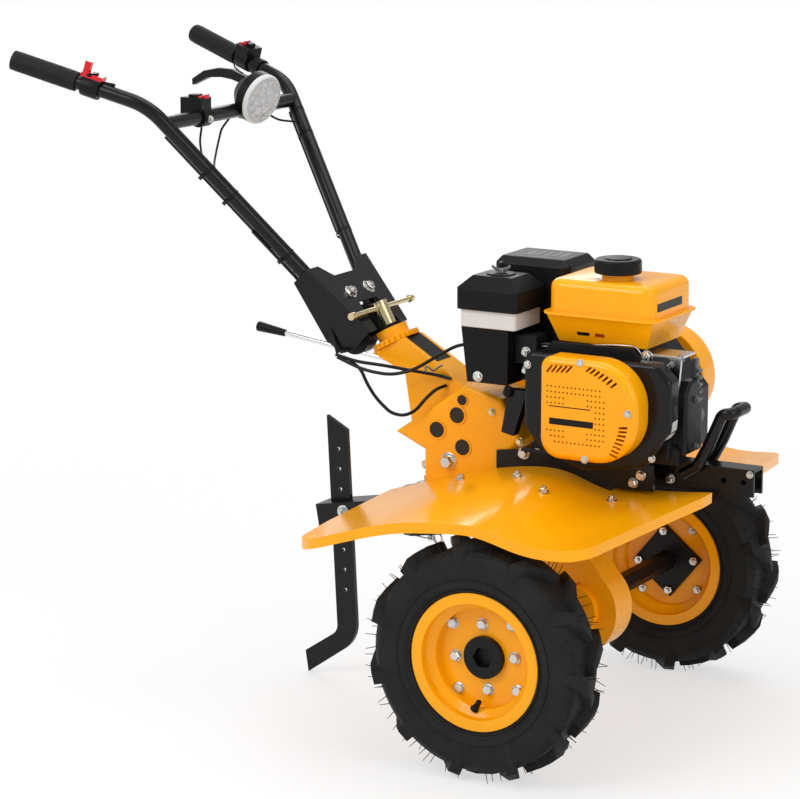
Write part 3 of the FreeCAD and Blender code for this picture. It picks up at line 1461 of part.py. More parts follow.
def make_linkage():
    """Throttle control bracket at the engine's front and the duct behind the fan housing."""
    link = Piece("control_linkage", at=(AXLE_X, 0.0, 0.0))
    under = S.link_up + S.link_sheet
    link.pad("XY", [rectangle(S.link_back, S.link_front, -S.link_right, -S.link_left)], S.link_up, under)
    post = S.block_front + S.seat_gap
    foot = S.link_foot_up
    link.pad("XZ", [[(post, foot), (post + S.link_web, foot), (S.link_front, S.link_up),
                     (S.link_front - S.link_web * 4, S.link_up), (post, foot + S.link_web * 5)]],
             -S.link_right, S.link_web - S.link_right)
    duct = Piece("cooling_duct", at=(AXLE_X, 0.0, 0.0))
    rear = S.fan_back + S.duct_wide * 2.5
    duct.pad("XZ", [[(-rear, S.fan_low + 46.0), (24.0 - rear, S.fan_low + 41.0), (-S.fan_back, S.fan_low + 122.0),
                     (14.0 - rear, S.fan_low + 122.0)]], -S.duct_right, S.duct_wide - S.duct_right)


make_crankcase()
make_blower()
make_recoil()
make_tank()
make_fuel_cap()
make_air_cleaner()
make_engine_top()
make_belt_cover()
make_linkage()


# --- Hitch, drag arm and stake --------------------------------------------------------------------

def hitch_place():
    """Placement of the hitch's own frame: its Z is the hitch pin's axis."""
    return {"at": (AXLE_X - S.hitch_back, 0.0, HITCH_UP), "axis": (0, 1, 0), "turn": -S.hitch_lean}


def make_hitch():
    """Jaw of two plates on a web, with a back plate bolted to the case's rear face."""
    jaws = Piece("HitchJaws", whole=False, **hitch_place())
    half = S.hitch_half
    web_out = S.jaw_reach + 4.0
    jaw = [(-46.0, -half * 0.5), (-46.0, half * 0.5), (-20.0, half), (web_out, half),
           (web_out, -half), (-20.0, -half)]
    jaws.pad("XY", [jaw], 0.0, S.jaw_sheet)
    jaws.pad("XY", [jaw], -S.jaw_gap - S.jaw_sheet, -S.jaw_gap)
    jaws.pad("XY", [rectangle(S.jaw_reach - 6.0, web_out, -half, half)], -S.jaw_gap, 0.0)
    jaws.pocket("XY", [Circle(0.0, 0.0, S.pin_radius + S.running_fit)], -S.jaw_gap - S.jaw_sheet, S.jaw_sheet)
    back = Piece("HitchBack", at=(AXLE_X, 0.0, 0.0), whole=False)
    face = -S.case_heel_back
    outline = [(face, S.case_foot_up), (face, S.case_heel_up - S.case_round),
               (face - 9.0, S.case_heel_up - S.case_round),
               (face - 9.0, S.case_foot_up + 10.0), (face - 16.0, S.case_foot_up - 12.0),
               (face + 16.0, S.case_foot_up - 12.0), (face + 16.0, S.case_foot_up)]
    back.pad("XZ", [outline], -half, half)
    fused("hitch_bracket", [jaws.body, back.body])


def make_pin():
    """Hitch pin with its pull ring and spring clip."""
    pin = Piece("hitch_pin", **hitch_place())
    low = -S.jaw_gap - S.jaw_sheet
    pin.pad("XY", [Circle(0.0, 0.0, S.pin_radius)], low - 16.0, S.jaw_sheet + 8.0)
    pin.pad("XY", [Circle(0.0, 0.0, S.pin_radius + 4.0)], S.jaw_sheet, S.jaw_sheet + 8.0)


def make_drag_arm():
    """Drag arm: a channel that swings on the hitch pin and grips the depth stake."""
    arm = Piece("drag_arm", **hitch_place())
    top = -S.arm_gap
    low = -S.jaw_gap + S.arm_gap
    half = S.arm_half
    arm.pad("XY", [[(-215.0, -half), (-215.0, half), (0.0, half), (18.0, half * 0.6), (18.0, -half * 0.6),
                    (0.0, -half)]], low, top)
    arm.pocket("XY", [Circle(0.0, 0.0, S.pin_radius + S.running_fit)], low, top)
    half_slot = S.stake_thick / 2 + S.stake_fit
    wide = S.stake_wide / 2 + S.stake_fit
    x_mid, z_mid = in_hitch(S.stake_back, S.stake_up)
    slope = math.tan(math.radians(S.hitch_lean - S.stake_lean))
    slot = [(x_mid - wide + (z - z_mid) * slope, z) for z in (low, top)]
    slot += [(x_mid + wide + (z - z_mid) * slope, z) for z in (top, low)]
    arm.pocket("XZ", [slot], -half_slot, half_slot)


def in_hitch(back, up):
    """Hitch-frame (x, z) of a point given behind the axle and over the ground."""
    run = S.hitch_back - back
    rise = up - HITCH_UP
    c = cosine(S.hitch_lean)
    s = sine(S.hitch_lean)
    return (run * c + rise * s, rise * c - run * s)


def stake_place():
    """Placement whose own Z runs up the depth stake."""
    return {"at": (AXLE_X - S.stake_back, 0.0, S.stake_up), "axis": (0, 1, 0), "turn": -S.stake_lean}


def make_stake():
    """Depth stake: a pointed flat bar with adjusting holes and a foot that curves rearward."""
    stake = Piece("depth_stake", **stake_place())
    w = S.stake_wide / 2
    lean = math.tan(math.radians(S.stake_lean))
    toe_low = (-S.stake_toe, -S.stake_up / math.cos(math.radians(S.stake_lean)) + S.stake_toe * lean)
    heel = (w, -S.stake_heel)
    instep = (-w, -S.stake_heel + 15.0)
    outline = [(-w, S.stake_rise), (w, S.stake_rise - S.stake_point), heel, toe_low,
               (-S.stake_toe - 4.0, toe_low[1] + S.stake_toe_high), instep]
    half = S.stake_thick / 2
    stake.pad("XZ", [outline], -half, half)
    stake.round(60.0, runs_along("y", heel))
    stake.round(22.0, runs_along("y", instep))
    hole = stake.pocket("XZ", [Circle(0.0, S.stake_first_hole, S.stake_hole_radius)], -half, half)
    stake.row(hole, "Z_Axis", S.stake_hole_pitch, 8, backwards=True)


make_hitch()
make_pin()
make_drag_arm()
make_stake()


# --- Shift lever and cables -------------------------------------------------------------------------

def make_shift_lever():
    """Shift lever from the gearbox's left face, past the neck, to its knob."""
    start_up = seam_up(S.lever_back) - S.lever_inset
    points = [(-S.lever_back, S.case_wide / 2, start_up), (-S.lever_back, 88.0, start_up), (-290.0, 82.0, 584.0),
              (-420.0, 66.0, 586.0), (-650.0, 72.0, 614.0)]
    rod = [Vector(float(AXLE_X + x), float(y), float(z)) for x, y, z in points]
    shaped("shift_lever", swept(rod, S.lever_radius))
    run = (rod[-1] - rod[-2]).normalize()
    knob = Part.makeCone(6.5, float(S.knob_radius), 62.0, rod[-1], run)
    shaped("shift_knob", knob)


def make_handle_cable(side):
    """Control cable held along the underside of one handle tube."""
    tail, apex, end = bar_points(side)
    along = (tail - apex).normalize()
    under = along.cross(Vector(0, 1, 0)).normalize() * -float(S.tube_radius + S.cable_radius + S.seat_gap)
    run = [apex + along * float(reach) + under for reach in (S.cable_head, S.cable_tail)]
    shaped(f"handle_cable_{side}", swept(run, S.cable_radius))


def held(label, points, radius):
    """A held cable or wire through places given from the axle's centre plane and the ground."""
    shaped(label, swept([Vector(float(AXLE_X) + x, y, z) for x, y, z in points], radius))


def make_cables():
    """Cables from the handlebar's stop bracket to the engine and gearbox, and the lamp wiring."""
    held("clutch_cable", [(-449, -86, 621), (-407, -84, 612), (-359, -75, 609), (-309, -58, 601),
                          (-270, -42, 595), (-243, -38.3, 590)], S.cable_radius)
    held("throttle_cable", [(-442, -92, 618), (-388, -92, 600), (-338, -84, 595), (-298, -74, 606),
                            (-262, -64, 630), (-219, -60, 656), (-183.7, -60, 662)], S.cable_radius)
    held("shift_cable", [(-424, -80, 611), (-400, -84, 601), (-384, -86, 573), (-365, -86, 549), (-338, -84, 527),
                         (-314, -81, 524), (-293, -77, 534), (-276, -70, 557), (-263, -55, 573), (-252, -38.4, 577)],
         S.cable_radius)
    held("lamp_wire", [(-725.6, 5, 1013.7), (-732, -12, 996), (-712, -58, 968), (-684, -112, 946),
                       (-652.1, -156.5, 941.1)],
         S.wire_radius)
    held("switch_wire", [(-720, -95, 1007.4), (-713, -112, 987), (-692, -140, 971), (-670.9, -167.8, 965)],
         S.wire_radius)
    held("far_wire", [(-719.7, 120, 1011.7), (-706, 140, 997), (-690.9, 179.9, 990.4)], S.wire_radius)


make_shift_lever()
for cable_side in SIDES:
    make_handle_cable(cable_side)
make_cables()


# --- Check and write ------------------------------------------------------------------------------------

def check_and_write():
    """Stop on any failed object, then write each sub-part's shape."""
    DOC.recompute()
    for thing in DOC.Objects:
        if "Invalid" in thing.State or "Error" in thing.State:
            raise RuntimeError(f"{thing.Name} ({thing.Label}) failed: {thing.State}")
    os.makedirs("parts", exist_ok=True)
    for thing in NODES:
        if thing.Shape.isNull() or not thing.Shape.isValid():
            raise RuntimeError(f"{thing.Label} has no valid shape")
        thing.Shape.exportStep(f"parts/{thing.Label}.step")
    print(f"{len(NODES)} sub-parts written")


check_and_write()
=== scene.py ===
"""Walk-behind rotary tiller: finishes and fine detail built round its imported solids.

Places and sizes on the machine are in millimetres in the axle frame, whose origin lies on the
ground under the middle of the wheel axle, +X forward, +Y to the operator's left and +Z up. The
studio's sizes and whatever says so are in metres.
"""

from __future__ import annotations

import logging
import math
import random
from dataclasses import dataclass
from enum import Enum
from typing import Iterable, NamedTuple, Sequence

import bmesh
import bpy
from bmesh.types import BMesh, BMVert
from bpy.types import ID, Material, Mesh, Node, Object, World
from mathutils import Matrix, Vector
from mathutils.bvhtree import BVHTree

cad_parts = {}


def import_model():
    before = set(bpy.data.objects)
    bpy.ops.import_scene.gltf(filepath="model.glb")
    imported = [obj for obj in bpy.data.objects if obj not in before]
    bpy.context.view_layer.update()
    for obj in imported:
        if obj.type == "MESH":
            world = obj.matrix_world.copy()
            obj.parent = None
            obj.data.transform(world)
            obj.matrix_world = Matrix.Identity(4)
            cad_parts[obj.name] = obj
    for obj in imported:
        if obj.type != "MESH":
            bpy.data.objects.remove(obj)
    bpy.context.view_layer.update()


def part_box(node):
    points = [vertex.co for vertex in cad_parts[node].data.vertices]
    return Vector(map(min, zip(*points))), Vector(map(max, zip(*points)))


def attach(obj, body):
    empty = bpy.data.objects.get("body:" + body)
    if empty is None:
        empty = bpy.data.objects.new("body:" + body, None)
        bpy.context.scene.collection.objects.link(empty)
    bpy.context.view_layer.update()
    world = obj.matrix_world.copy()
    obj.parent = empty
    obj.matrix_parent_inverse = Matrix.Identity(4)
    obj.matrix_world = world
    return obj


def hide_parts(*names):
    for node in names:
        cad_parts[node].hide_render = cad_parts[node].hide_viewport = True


Place = tuple[float, float, float]

MM = 0.001
FORWARD = Vector((1.0, 0.0, 0.0))
LEFT = Vector((0.0, 1.0, 0.0))
UP = Vector((0.0, 0.0, 1.0))
SIDES = (("left", 1.0), ("right", -1.0))
# In metres: what counts as one point, what stays clear of the ground, how deep the lens flutes are.
WELD = 0.000002
GROUND_CLEAR = 0.002
FLUTE_DEEP = 0.0009
# In mm: how far off a surface a look at it starts, and how thick every washer is.
BACK_OFF = 30.0
WASHER_THICK = 1.6
# In degrees: the least turn of an edge that is beveled, and the most that counts as flat.
SOFT_TURN = 25.0
FLAT_TURN = 0.6
# Roughness of every clear coat, the least roughness, and how much finer the gloss's noise is than the tone's.
COAT_ROUGH = 0.08
LEAST_ROUGH = 0.02
FINE_SHARE = 5.0
# Whiskers: degrees after the lug, mm from the axle and mm outboard; tread ones have one radius.
LUG_WHISKERS = ((-1.0, 180.0, 47.0), (5.0, 181.0, 44.0), (9.5, 182.0, 41.0), (14.0, 182.0, 40.0),
                (18.5, 183.0, 38.0), (23.0, 182.0, 42.0))
TREAD_WHISKERS = ((-3.0, 24.0), (12.0, 8.0), (18.0, 22.0))
TREAD_RADIUS = 185.0
# Whiskers of a sidewall: mm from the axle, how many, and mm outboard.
WALL_WHISKERS = ((128.0, 18, 43.6), (146.0, 22, 47.6))
# Rings of a sidewall: inner radius, outer radius and mm outboard.
BEAD_RINGS = ((119.5, 123.0, 40.6), (127.5, 129.5, 43.8), (139.0, 141.0, 46.6))
# Places on the left tube and grip.
TUBE_FOOT = (-509.0, 87.0, 759.0)
TUBE_BEND = (-744.0, 228.0, 1058.0)
GRIP_END = (-983.0, 289.0, 1131.0)
# The headlamp's face, and how many degrees it looks down and to the left.
LAMP_FACE = (-668.0, 48.0, 1040.0)
LAMP_DIP = 17.0
LAMP_TOE = -9.0
log = logging.getLogger("tiller")


class Body(Enum):
    """Rigid bodies of the machine that a piece can move with."""

    CHASSIS = "chassis"
    WHEELS = "wheelset"
    SWIVEL = "swivel"
    HANDLEBAR = "handlebar"
    DRAWBAR = "drawbar"
    STAKE = "stake"


class Grain(Enum):
    """Fine relief of a surface: noise scale per metre and bump height in metres."""

    SMOOTH = (900.0, 0.00002)
    ORANGE_PEEL = (420.0, 0.00006)
    CAST = (650.0, 0.00035)
    PEBBLE = (1500.0, 0.00018)
    RUBBER = (800.0, 0.00016)
    BRUSHED = (1800.0, 0.00005)


class Graph:
    """The shader nodes of a material or of the world."""

    def __init__(self, owner: Material | World) -> None:
        """Opens the nodes.

        Args:
            owner: what the nodes belong to.
        """
        owner.use_nodes = True
        self.nodes = owner.node_tree.nodes
        self.links = owner.node_tree.links

    def add(self, kind: str, **levels: float | tuple[float, ...]) -> Node:
        """Adds a node.

        Args:
            kind: its type's name after ShaderNode.
            levels: values of its inputs, as in tune.

        Returns:
            The new node.
        """
        return self.tune(self.nodes.new("ShaderNode" + kind), **levels)

    @staticmethod
    def tune(node: Node, **levels: float | tuple[float, ...]) -> Node:
        """Sets inputs of a node.

        Args:
            node: the node.
            levels: values of its inputs, named as the input is with _ for a space.

        Returns:
            The same node.
        """
        for name, level in levels.items():
            node.inputs[name.replace("_", " ")].default_value = level
        return node

    def feed(self, giver: Node, outlet: str | int, taker: Node, inlet: str | int) -> None:
        """Links one node's output to another node's input."""
        self.links.new(giver.outputs[outlet], taker.inputs[inlet])

    def noise(self, place: Node, scale: float, detail: float) -> Node:
        """Adds noise on Object coordinates.

        Args:
            place: the texture coordinates.
            scale: its scale per metre.
            detail: its octaves.

        Returns:
            The noise texture.
        """
        made = self.add("TexNoise", Scale=scale, Detail=detail)
        self.feed(place, "Object", made, "Vector")
        return made


@dataclass(frozen=True)
class Finish:
    """A paint, plating, plastic or rubber as a node material on Object coordinates."""

    name: str
    slot: str
    colour: tuple[float, float, float]
    rough: float
    metal: float = 0.0
    coat: float = 0.0
    shine: float = 0.2
    grain: Grain = Grain.SMOOTH
    mottle: float = 0.06
    rough_spread: float = 0.08
    mottle_scale: float = 14.0

    def material(self) -> Material:
        """The finish's material, made the first time it is asked for.

        Returns:
            The material, with noise for tone, gloss and relief.
        """
        made = bpy.data.materials.get(self.name)
        if made is None:
            made = bpy.data.materials.new(self.name)
            self.mix(Graph(made))
        return made

    def mix(self, graph: Graph) -> None:
        """Gives a new material its nodes.

        Args:
            graph: the material's nodes.
        """
        shader = graph.tune(graph.nodes["Principled BSDF"], Metallic=self.metal,
                            Specular_IOR_Level=self.shine, Coat_Weight=self.coat, Coat_Roughness=COAT_ROUGH)
        place = graph.add("TexCoord")
        tone = graph.add("ValToRGB")
        for stop, at, shift in zip(tone.color_ramp.elements, (0.3, 0.7), (-self.mottle, self.mottle)):
            stop.position = at
            stop.color = (*(min(1.0, share * (1.0 + shift)) for share in self.colour), 1.0)
        graph.feed(graph.noise(place, self.mottle_scale, 5.0), "Fac", tone, "Fac")
        graph.feed(tone, "Color", shader, "Base Color")
        gloss = graph.add("MapRange", To_Min=max(LEAST_ROUGH, self.rough - self.rough_spread),
                          To_Max=self.rough + self.rough_spread)
        graph.feed(graph.noise(place, self.mottle_scale * FINE_SHARE, 4.0), "Fac", gloss, "Value")
        graph.feed(gloss, "Result", shader, "Roughness")
        scale, height = self.grain.value
        bump = graph.add("Bump", Strength=1.0, Distance=height)
        graph.feed(graph.noise(place, scale, 3.0), "Fac", bump, "Height")
        graph.feed(bump, "Normal", shader, "Normal")


@dataclass(frozen=True)
class LensFinish(Finish):
    """Clear ribbed lens: a glossy pale plastic with fine vertical flutes."""

    flute: float = 95.0

    def mix(self, graph: Graph) -> None:
        """Gives the lens material its nodes, with flutes for its relief.

        Args:
            graph: the material's nodes.
        """
        super().mix(graph)
        kinds = {node.bl_idname: node for node in graph.nodes}
        wave = graph.add("TexWave", Scale=self.flute)
        wave.bands_direction = "Y"
        graph.feed(kinds["ShaderNodeTexCoord"], "Object", wave, "Vector")
        bump = graph.tune(kinds["ShaderNodeBump"], Distance=FLUTE_DEEP)
        graph.feed(wave, "Fac", bump, "Height")


YELLOW_PAINT = Finish("yellow_enamel", "yellow_paint", (0.97, 0.395, 0.001), 0.2, coat=0.22,
                      grain=Grain.ORANGE_PEEL, mottle=0.03, rough_spread=0.05)
YELLOW_CAST = Finish("yellow_casting", "yellow_paint", (0.97, 0.395, 0.001), 0.28, coat=0.16,
                     grain=Grain.CAST, mottle=0.05)
BLACK_PAINT = Finish("black_enamel", "black_paint", (0.0045, 0.0045, 0.005), 0.26, coat=0.12,
                     grain=Grain.ORANGE_PEEL, mottle=0.12)
BLACK_CAST = Finish("black_casting", "black_paint", (0.0055, 0.0055, 0.006), 0.4, grain=Grain.CAST,
                    mottle=0.15)
BLACK_PLASTIC = Finish("black_moulding", "black_plastic", (0.0058, 0.0058, 0.006), 0.36, shine=0.15,
                       grain=Grain.PEBBLE, mottle=0.08)
BRIGHT_ZINC = Finish("bright_zinc", "plated_steel", (0.62, 0.61, 0.58), 0.24, metal=1.0,
                     grain=Grain.BRUSHED, mottle=0.08)
GOLD_ZINC = Finish("gold_zinc", "plated_steel", (0.66, 0.55, 0.33), 0.26, metal=1.0,
                   grain=Grain.BRUSHED, mottle=0.16, mottle_scale=60.0)
CHROME = Finish("bright_rod", "steel_rod", (0.78, 0.78, 0.78), 0.12, metal=1.0, mottle=0.03)
DARK_METAL = Finish("dark_alloy", "cast_aluminium", (0.018, 0.018, 0.019), 0.4, metal=0.6,
                    grain=Grain.CAST, mottle=0.2)
GREY_METAL = Finish("grey_steel", "cast_aluminium", (0.17, 0.18, 0.18), 0.4, metal=0.7,
                    grain=Grain.CAST, mottle=0.2)
RED_PLASTIC = Finish("red_moulding", "red_plastic", (0.62, 0.008, 0.018), 0.22, coat=0.3, mottle=0.04)
PALE_PLASTIC = Finish("pale_moulding", "pale_plastic", (0.66, 0.66, 0.65), 0.42, grain=Grain.PEBBLE,
                      mottle=0.04)
TYRE_RUBBER = Finish("tread_rubber", "tyre_rubber", (0.015, 0.015, 0.0148), 0.6, shine=0.13,
                     grain=Grain.RUBBER, mottle=0.2, mottle_scale=22.0)
GRIP_RUBBER = Finish("sleeve_rubber", "grip_rubber", (0.013, 0.013, 0.013), 0.55, shine=0.16,
                     grain=Grain.PEBBLE, mottle=0.1)
CABLE_COVER = Finish("cable_sheath", "cable_cover", (0.008, 0.008, 0.009), 0.34, mottle=0.1)
DARK_PLUG = Finish("dark_plug", "black_plastic", (0.03, 0.024, 0.018), 0.5, mottle=0.1)
PALE_LABEL = Finish("pale_label", "pale_plastic", (0.5, 0.5, 0.49), 0.35, mottle=0.05)
# Dark print and labels; the same dark also stands as painted shade in the recoil cover's blind holes and the
# muffler's slits.
DARK_PRINT_AND_SHADE = Finish("dark_print_and_painted_shade", "black_plastic", (0.006, 0.005, 0.005), 0.3, mottle=0.05)
RUST_LABEL = Finish("rust_label", "red_plastic", (0.32, 0.03, 0.004), 0.3, mottle=0.05)
LENS = LensFinish("lamp_glass", "lamp_lens", (0.62, 0.64, 0.66), 0.1, metal=0.35, coat=1.0, mottle=0.12,
                  mottle_scale=120.0)


def axle_middle() -> Vector:
    """Where the ground lies under the middle of the wheel axle, in metres."""
    low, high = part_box("axle_shaft")
    return Vector(((low[0] + high[0]) / 2, 0.0, 0.0))


def spot(x: float, y: float, z: float) -> Vector:
    """A point of the axle frame, in the row frame in metres.

    Args:
        x: forward of the axle, in mm.
        y: left of the middle, in mm.
        z: above the ground, in mm.

    Returns:
        The same point in the row frame.
    """
    return axle_middle() + Vector((x, y, z)) * MM


def spots(places: Iterable[Place]) -> list[Vector]:
    """Points of the axle frame, as spot gives them."""
    return [spot(*place) for place in places]


def sided(place: Place, side: float) -> Vector:
    """A place on the left as spot gives it, or its mirror image on the right.

    Args:
        place: the place on the left, in mm.
        side: 1 for the left, -1 for the right.

    Returns:
        The point in the row frame.
    """
    x, y, z = place
    return spot(x, side * y, z)


def aimed(at: Vector, along: Vector, turn: float = 0.0) -> Matrix:
    """The matrix that stands a shape's +Z along a direction.

    Args:
        at: where the shape's origin goes, in metres.
        along: where its +Z points.
        turn: how far it turns about its own Z first, in degrees.

    Returns:
        The 4x4 matrix.
    """
    tilt = along.normalized().to_track_quat("Z", "Y").to_matrix().to_4x4()
    return Matrix.Translation(at) @ tilt @ Matrix.Rotation(math.radians(turn), 4, "Z")


def below(run: Vector) -> Vector:
    """The direction square to a run that points down the most."""
    return (-UP + run * UP.dot(run)).normalized()


def linked(name: str, data: ID) -> Object:
    """A new object of the data, in the scene."""
    thing = bpy.data.objects.new(name, data)
    bpy.context.scene.collection.objects.link(thing)
    return thing


def baked(thing: Object) -> Mesh:
    """A new mesh of what an object looks like with its modifiers or its bevel."""
    return bpy.data.meshes.new_from_object(thing.evaluated_get(bpy.context.evaluated_depsgraph_get()))


class Fixing(NamedTuple):
    """A bolt, nut or screw that sits on a carried-over solid, in mm."""

    node: str
    near: Place
    along: Vector
    across: float
    deep: float
    washer: float = 0.0
    stud: float = 0.0


class Forge:
    """Raw bmesh shapes that every sub-assembly is put together from."""

    @staticmethod
    def lathe(profile: Sequence[tuple[float, float]], steps: int = 64, closed: bool = False) -> BMesh:
        """Turns a profile about Z.

        Args:
            profile: (radius, height) points in mm.
            steps: how many steps the full turn takes.
            closed: joins the last point to the first.

        Returns:
            The turned shape at the origin.
        """
        shape = bmesh.new()
        dots = [shape.verts.new((radius * MM, 0.0, height * MM)) for radius, height in profile]
        pairs = list(zip(dots, dots[1:]))
        if closed:
            pairs.append((dots[-1], dots[0]))
        lines = [shape.edges.new(pair) for pair in pairs]
        bmesh.ops.spin(shape, geom=dots + lines, cent=(0, 0, 0), axis=(0, 0, 1), angle=math.tau,
                       steps=steps, use_merge=True)
        bmesh.ops.remove_doubles(shape, verts=shape.verts, dist=1e-6)
        bmesh.ops.recalc_face_normals(shape, faces=shape.faces)
        return shape

    @staticmethod
    def prism(outline: Sequence[Vector], push: Vector, soften: float = 0.0) -> BMesh:
        """Pushes a flat outline into a solid.

        Args:
            outline: corners in metres.
            push: how far and where it is extruded, in metres.
            soften: bevel of all edges, in mm.

        Returns:
            The solid.
        """
        shape = bmesh.new()
        face = shape.faces.new([shape.verts.new(corner) for corner in outline])
        grown = bmesh.ops.extrude_face_region(shape, geom=[face])["geom"]
        bmesh.ops.translate(shape, verts=[part for part in grown if isinstance(part, BMVert)], vec=push)
        bmesh.ops.recalc_face_normals(shape, faces=shape.faces)
        if soften:
            Forge.soften(shape, soften)
        return shape

    @staticmethod
    def block(low: Vector, high: Vector, soften: float) -> BMesh:
        """A block between two corners in metres, with its edges beveled by soften mm."""
        shape = bmesh.new()
        bmesh.ops.create_cube(shape, size=1.0)
        bmesh.ops.scale(shape, verts=shape.verts, vec=high - low)
        bmesh.ops.translate(shape, verts=shape.verts, vec=(low + high) / 2)
        Forge.soften(shape, soften)
        return shape

    @staticmethod
    def soften(shape: BMesh, size: float) -> None:
        """Bevels every sharp edge, size mm wide, in place."""
        sharp = [edge for edge in shape.edges
                 if edge.is_manifold and edge.calc_face_angle(0.0) > math.radians(SOFT_TURN)]
        bmesh.ops.bevel(shape, geom=sharp, offset=size * MM, offset_type="OFFSET", segments=2, profile=0.5,
                        affect="EDGES", clamp_overlap=True, material=-1)

    @staticmethod
    def rod(radius: float, long: float, sides: int = 24, tip: float | None = None) -> BMesh:
        """A round bar up +Z from the origin, radius and length in mm; tip is its far radius."""
        shape = bmesh.new()
        far = radius if tip is None else tip
        bmesh.ops.create_cone(shape, cap_ends=True, segments=sides, radius1=radius * MM, radius2=far * MM,
                              depth=long * MM)
        bmesh.ops.translate(shape, verts=shape.verts, vec=(0, 0, long * MM / 2))
        return shape

    @staticmethod
    def joined(parts: Iterable[BMesh]) -> BMesh:
        """All the parts as one bmesh; the parts are freed."""
        whole = bmesh.new()
        for part in parts:
            carrier = bpy.data.meshes.new("carrier")
            part.to_mesh(carrier)
            part.free()
            whole.from_mesh(carrier)
            bpy.data.meshes.remove(carrier)
        return whole

    @staticmethod
    def moved(shape: BMesh, matrix: Matrix | Vector) -> BMesh:
        """The shape after a matrix or a step in metres, in place."""
        step = matrix if isinstance(matrix, Matrix) else Matrix.Translation(matrix)
        bmesh.ops.transform(shape, matrix=step, verts=shape.verts)
        return shape

    @staticmethod
    def copied(shape: BMesh, matrix: Matrix) -> BMesh:
        """A moved copy of the shape, which is left as it is."""
        return Forge.moved(shape.copy(), matrix)

    @staticmethod
    def bolt(across: float, deep: float, washer: float = 0.0, stud: float = 0.0) -> BMesh:
        """A hex head up +Z from the origin, with its washer below and the shank's end above.

        Args:
            across: radius of the head's corners in mm.
            deep: the head's height in mm.
            washer: the washer's radius in mm, or 0.
            stud: how far the shank stands out of a nut, in mm, or 0.

        Returns:
            The bolt.
        """
        lift = WASHER_THICK if washer else 0.0
        head = Forge.lathe([(0.0, 0.0), (across, 0.0), (across, deep * 0.78), (across * 0.84, deep),
                            (0.0, deep)], 6)
        parts = [Forge.moved(head, UP * lift * MM)]
        if washer:
            parts.append(Forge.lathe([(0.0, 0.0), (washer, 0.0), (washer, lift * 0.7), (washer * 0.95, lift),
                                      (0.0, lift)], 24))
        if stud:
            shank = Forge.rod(across * 0.52, stud, 16, across * 0.44)
            parts.append(Forge.moved(shank, UP * (lift + deep) * MM))
        return Forge.joined(parts)


